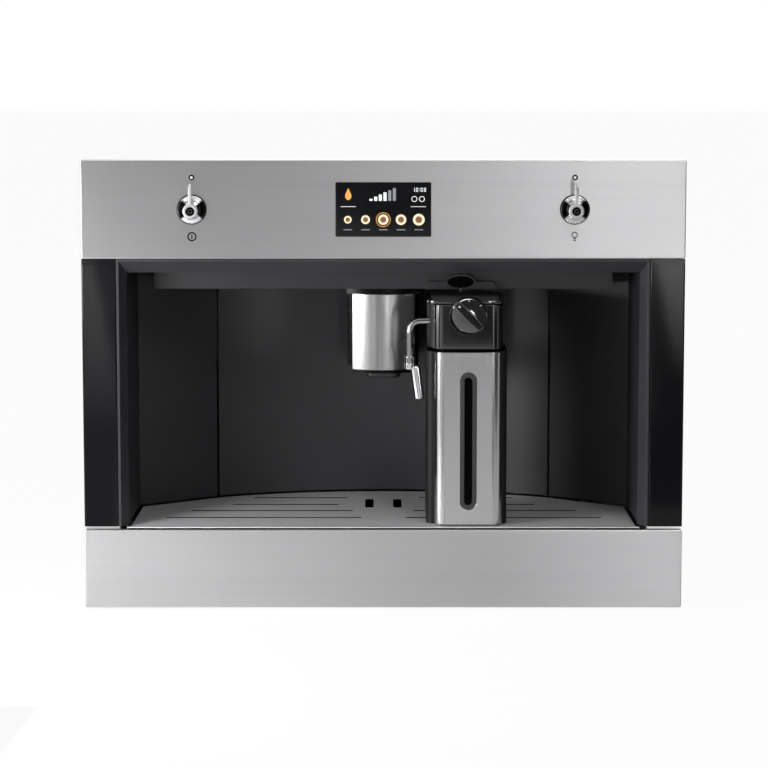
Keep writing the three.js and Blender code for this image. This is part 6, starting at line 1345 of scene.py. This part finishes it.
class COFFEE_OT_milk_spout(MachineOperator):
    """Chrome milk tube and its leaning nozzle"""

    bl_idname = "coffee.milk_spout"
    bl_label = "Milk spout"

    def build(self):
        """The tube is a circle carried along a path that turns down; collar and nozzle are turned."""
        low, high, (_, y, _), _ = extent("milk_tube")
        r = 4.4
        leg, level = low[0] + 5.8, high[2] - r
        corners = [(high[0], y, level), (leg, y, level), (leg, y, low[2] + 0.5)]
        tube = swept(circle(0, 0, 3.5), path_of(corners, [0, 12.5, 0], 28), (0, 1, 0))
        rows = [(0, 0, 0), (r + 1.4, 0, 0.6), (r + 1.4, 7, 0.8), (r - 0.3, 7.5, 0), (0, 7.5, 0)]
        shape = joined(tube, moved(turned(eased(rows), 64), (leg, y, low[2])))
        piece("milk_tube_chrome", shape, "tube_chrome", "milk_tube", "milk_spout", smooth=45)
        self.nozzle(leg, y)

    def nozzle(self, leg, y):
        """A cap under the tube, and a barrel that leans forward from it, hollow for half its length."""
        top = extent("milk_nozzle")[1][2]
        head = eased([(0, -6, 0), (5.2, -6, 0.5), (5.8, -5, 0.5), (5.8, 0, 0.4), (0, 0, 0)], 5)
        r, length = 5.2, 33
        barrel = eased(
            [
                (0, 0, 0), (r - 0.4, 0, 0.3), (r, -1, 0.5), (r, 0.8 - length, 0.5),
                (r - 0.6, -length, 0.2), (r - 1.3, -length, 0.2), (r - 1.3, -length / 2, 0),
                (0, -length / 2, 0),
            ],
            5,
        )
        lean = radians(8)
        c, s = cos(lean), sin(lean)
        points, faces = turned(barrel, 64)
        body = (points @ [[c, 0, s], [0, 1, 0], [-s, 0, c]], faces)
        shape = joined(moved(turned(head, 64), (leg, y, top)), moved(body, (leg + 5, y, top - 3)))
        piece("milk_nozzle_chrome", shape, "chrome", "milk_nozzle", "milk_spout", smooth=45)


class COFFEE_OT_grille(MachineOperator):
    """Slotted cup grille"""

    bl_idname = "coffee.grille"
    bl_label = "Cup grille"

    def build(self):
        """The slots' walls and every upright face behind the front lip are painted black as the shade
        inside the slots, and a dark strip along the lip's foot is a painted shadow."""
        low, high, _, _ = extent("cup_grille")
        mesh = refined("cup_grille", "grille_steel", "drip_drawer", 0.2, 40).data
        mesh.materials.append(finish_of("eye_black"))
        normal, centre = np.empty((2, len(mesh.polygons) * 3))
        mesh.polygons.foreach_get("normal", normal)
        mesh.polygons.foreach_get("center", centre)
        # painted shade: the upright faces in the slots and behind the lip take the black finish
        wall = (np.abs(normal[2::3]) < 0.5) & (centre[1::3] > (low[1] + 4) * MM)
        mesh.polygons.foreach_set("material_index", wall.astype(np.int32))
        # painted shadow: a dark strip along the foot of the front lip
        strip = rectangle(low[0] + 0.2, high[0] - 0.2, low[2] - 0.2, low[2] + 1.4, 0.3)
        lip_shadow_strip = slab(strip, low[1] - 0.2, low[1] + 0.1)
        piece("grille_lip_painted_shadow", lip_shadow_strip, "eye_black", body="drip_drawer")


OPERATORS = (
    COFFEE_OT_stage,
    COFFEE_OT_body,
    COFFEE_OT_works,
    COFFEE_OT_panels,
    COFFEE_OT_screen,
    COFFEE_OT_levers,
    COFFEE_OT_bay,
    COFFEE_OT_spout,
    COFFEE_OT_jug,
    COFFEE_OT_milk_spout,
    COFFEE_OT_grille,
)


class COFFEE_PT_machine(bpy.types.Panel):
    """Lists the machine's settings and pieces"""

    bl_idname = "COFFEE_PT_machine"
    bl_label = "Coffee machine"
    bl_space_type = "VIEW_3D"
    bl_region_type = "UI"
    bl_category = "Coffee machine"

    def draw(self, context):
        scene = context.scene
        for group in (scene.coffee_machine_look, scene.coffee_machine_sizes, scene.coffee_machine_studio):
            box = self.layout.box()
            for name in group.bl_rna.properties.keys():
                if name not in {"rna_type", "name"}:
                    box.prop(group, name)
        for operator in OPERATORS:
            self.layout.operator(operator.bl_idname)


GROUPS = (
    ("coffee_machine_look", CoffeeMachineLook),
    ("coffee_machine_sizes", CoffeeMachineSizes),
    ("coffee_machine_studio", CoffeeMachineStudio),
)


def register():
    for name, group in GROUPS:
        bpy.utils.register_class(group)
        setattr(bpy.types.Scene, name, bpy.props.PointerProperty(type=group))
    for operator in OPERATORS:
        bpy.utils.register_class(operator)
    bpy.utils.register_class(COFFEE_PT_machine)


def unregister():
    bpy.utils.unregister_class(COFFEE_PT_machine)
    for operator in reversed(OPERATORS):
        bpy.utils.unregister_class(operator)
    for name, group in reversed(GROUPS):
        delattr(bpy.types.Scene, name)
        bpy.utils.unregister_class(group)


def main():
    register()
    for operator in OPERATORS:
        group, name = operator.bl_idname.split(".")
        getattr(getattr(bpy.ops, group), name)()


if __name__ == "__main__":
    main()
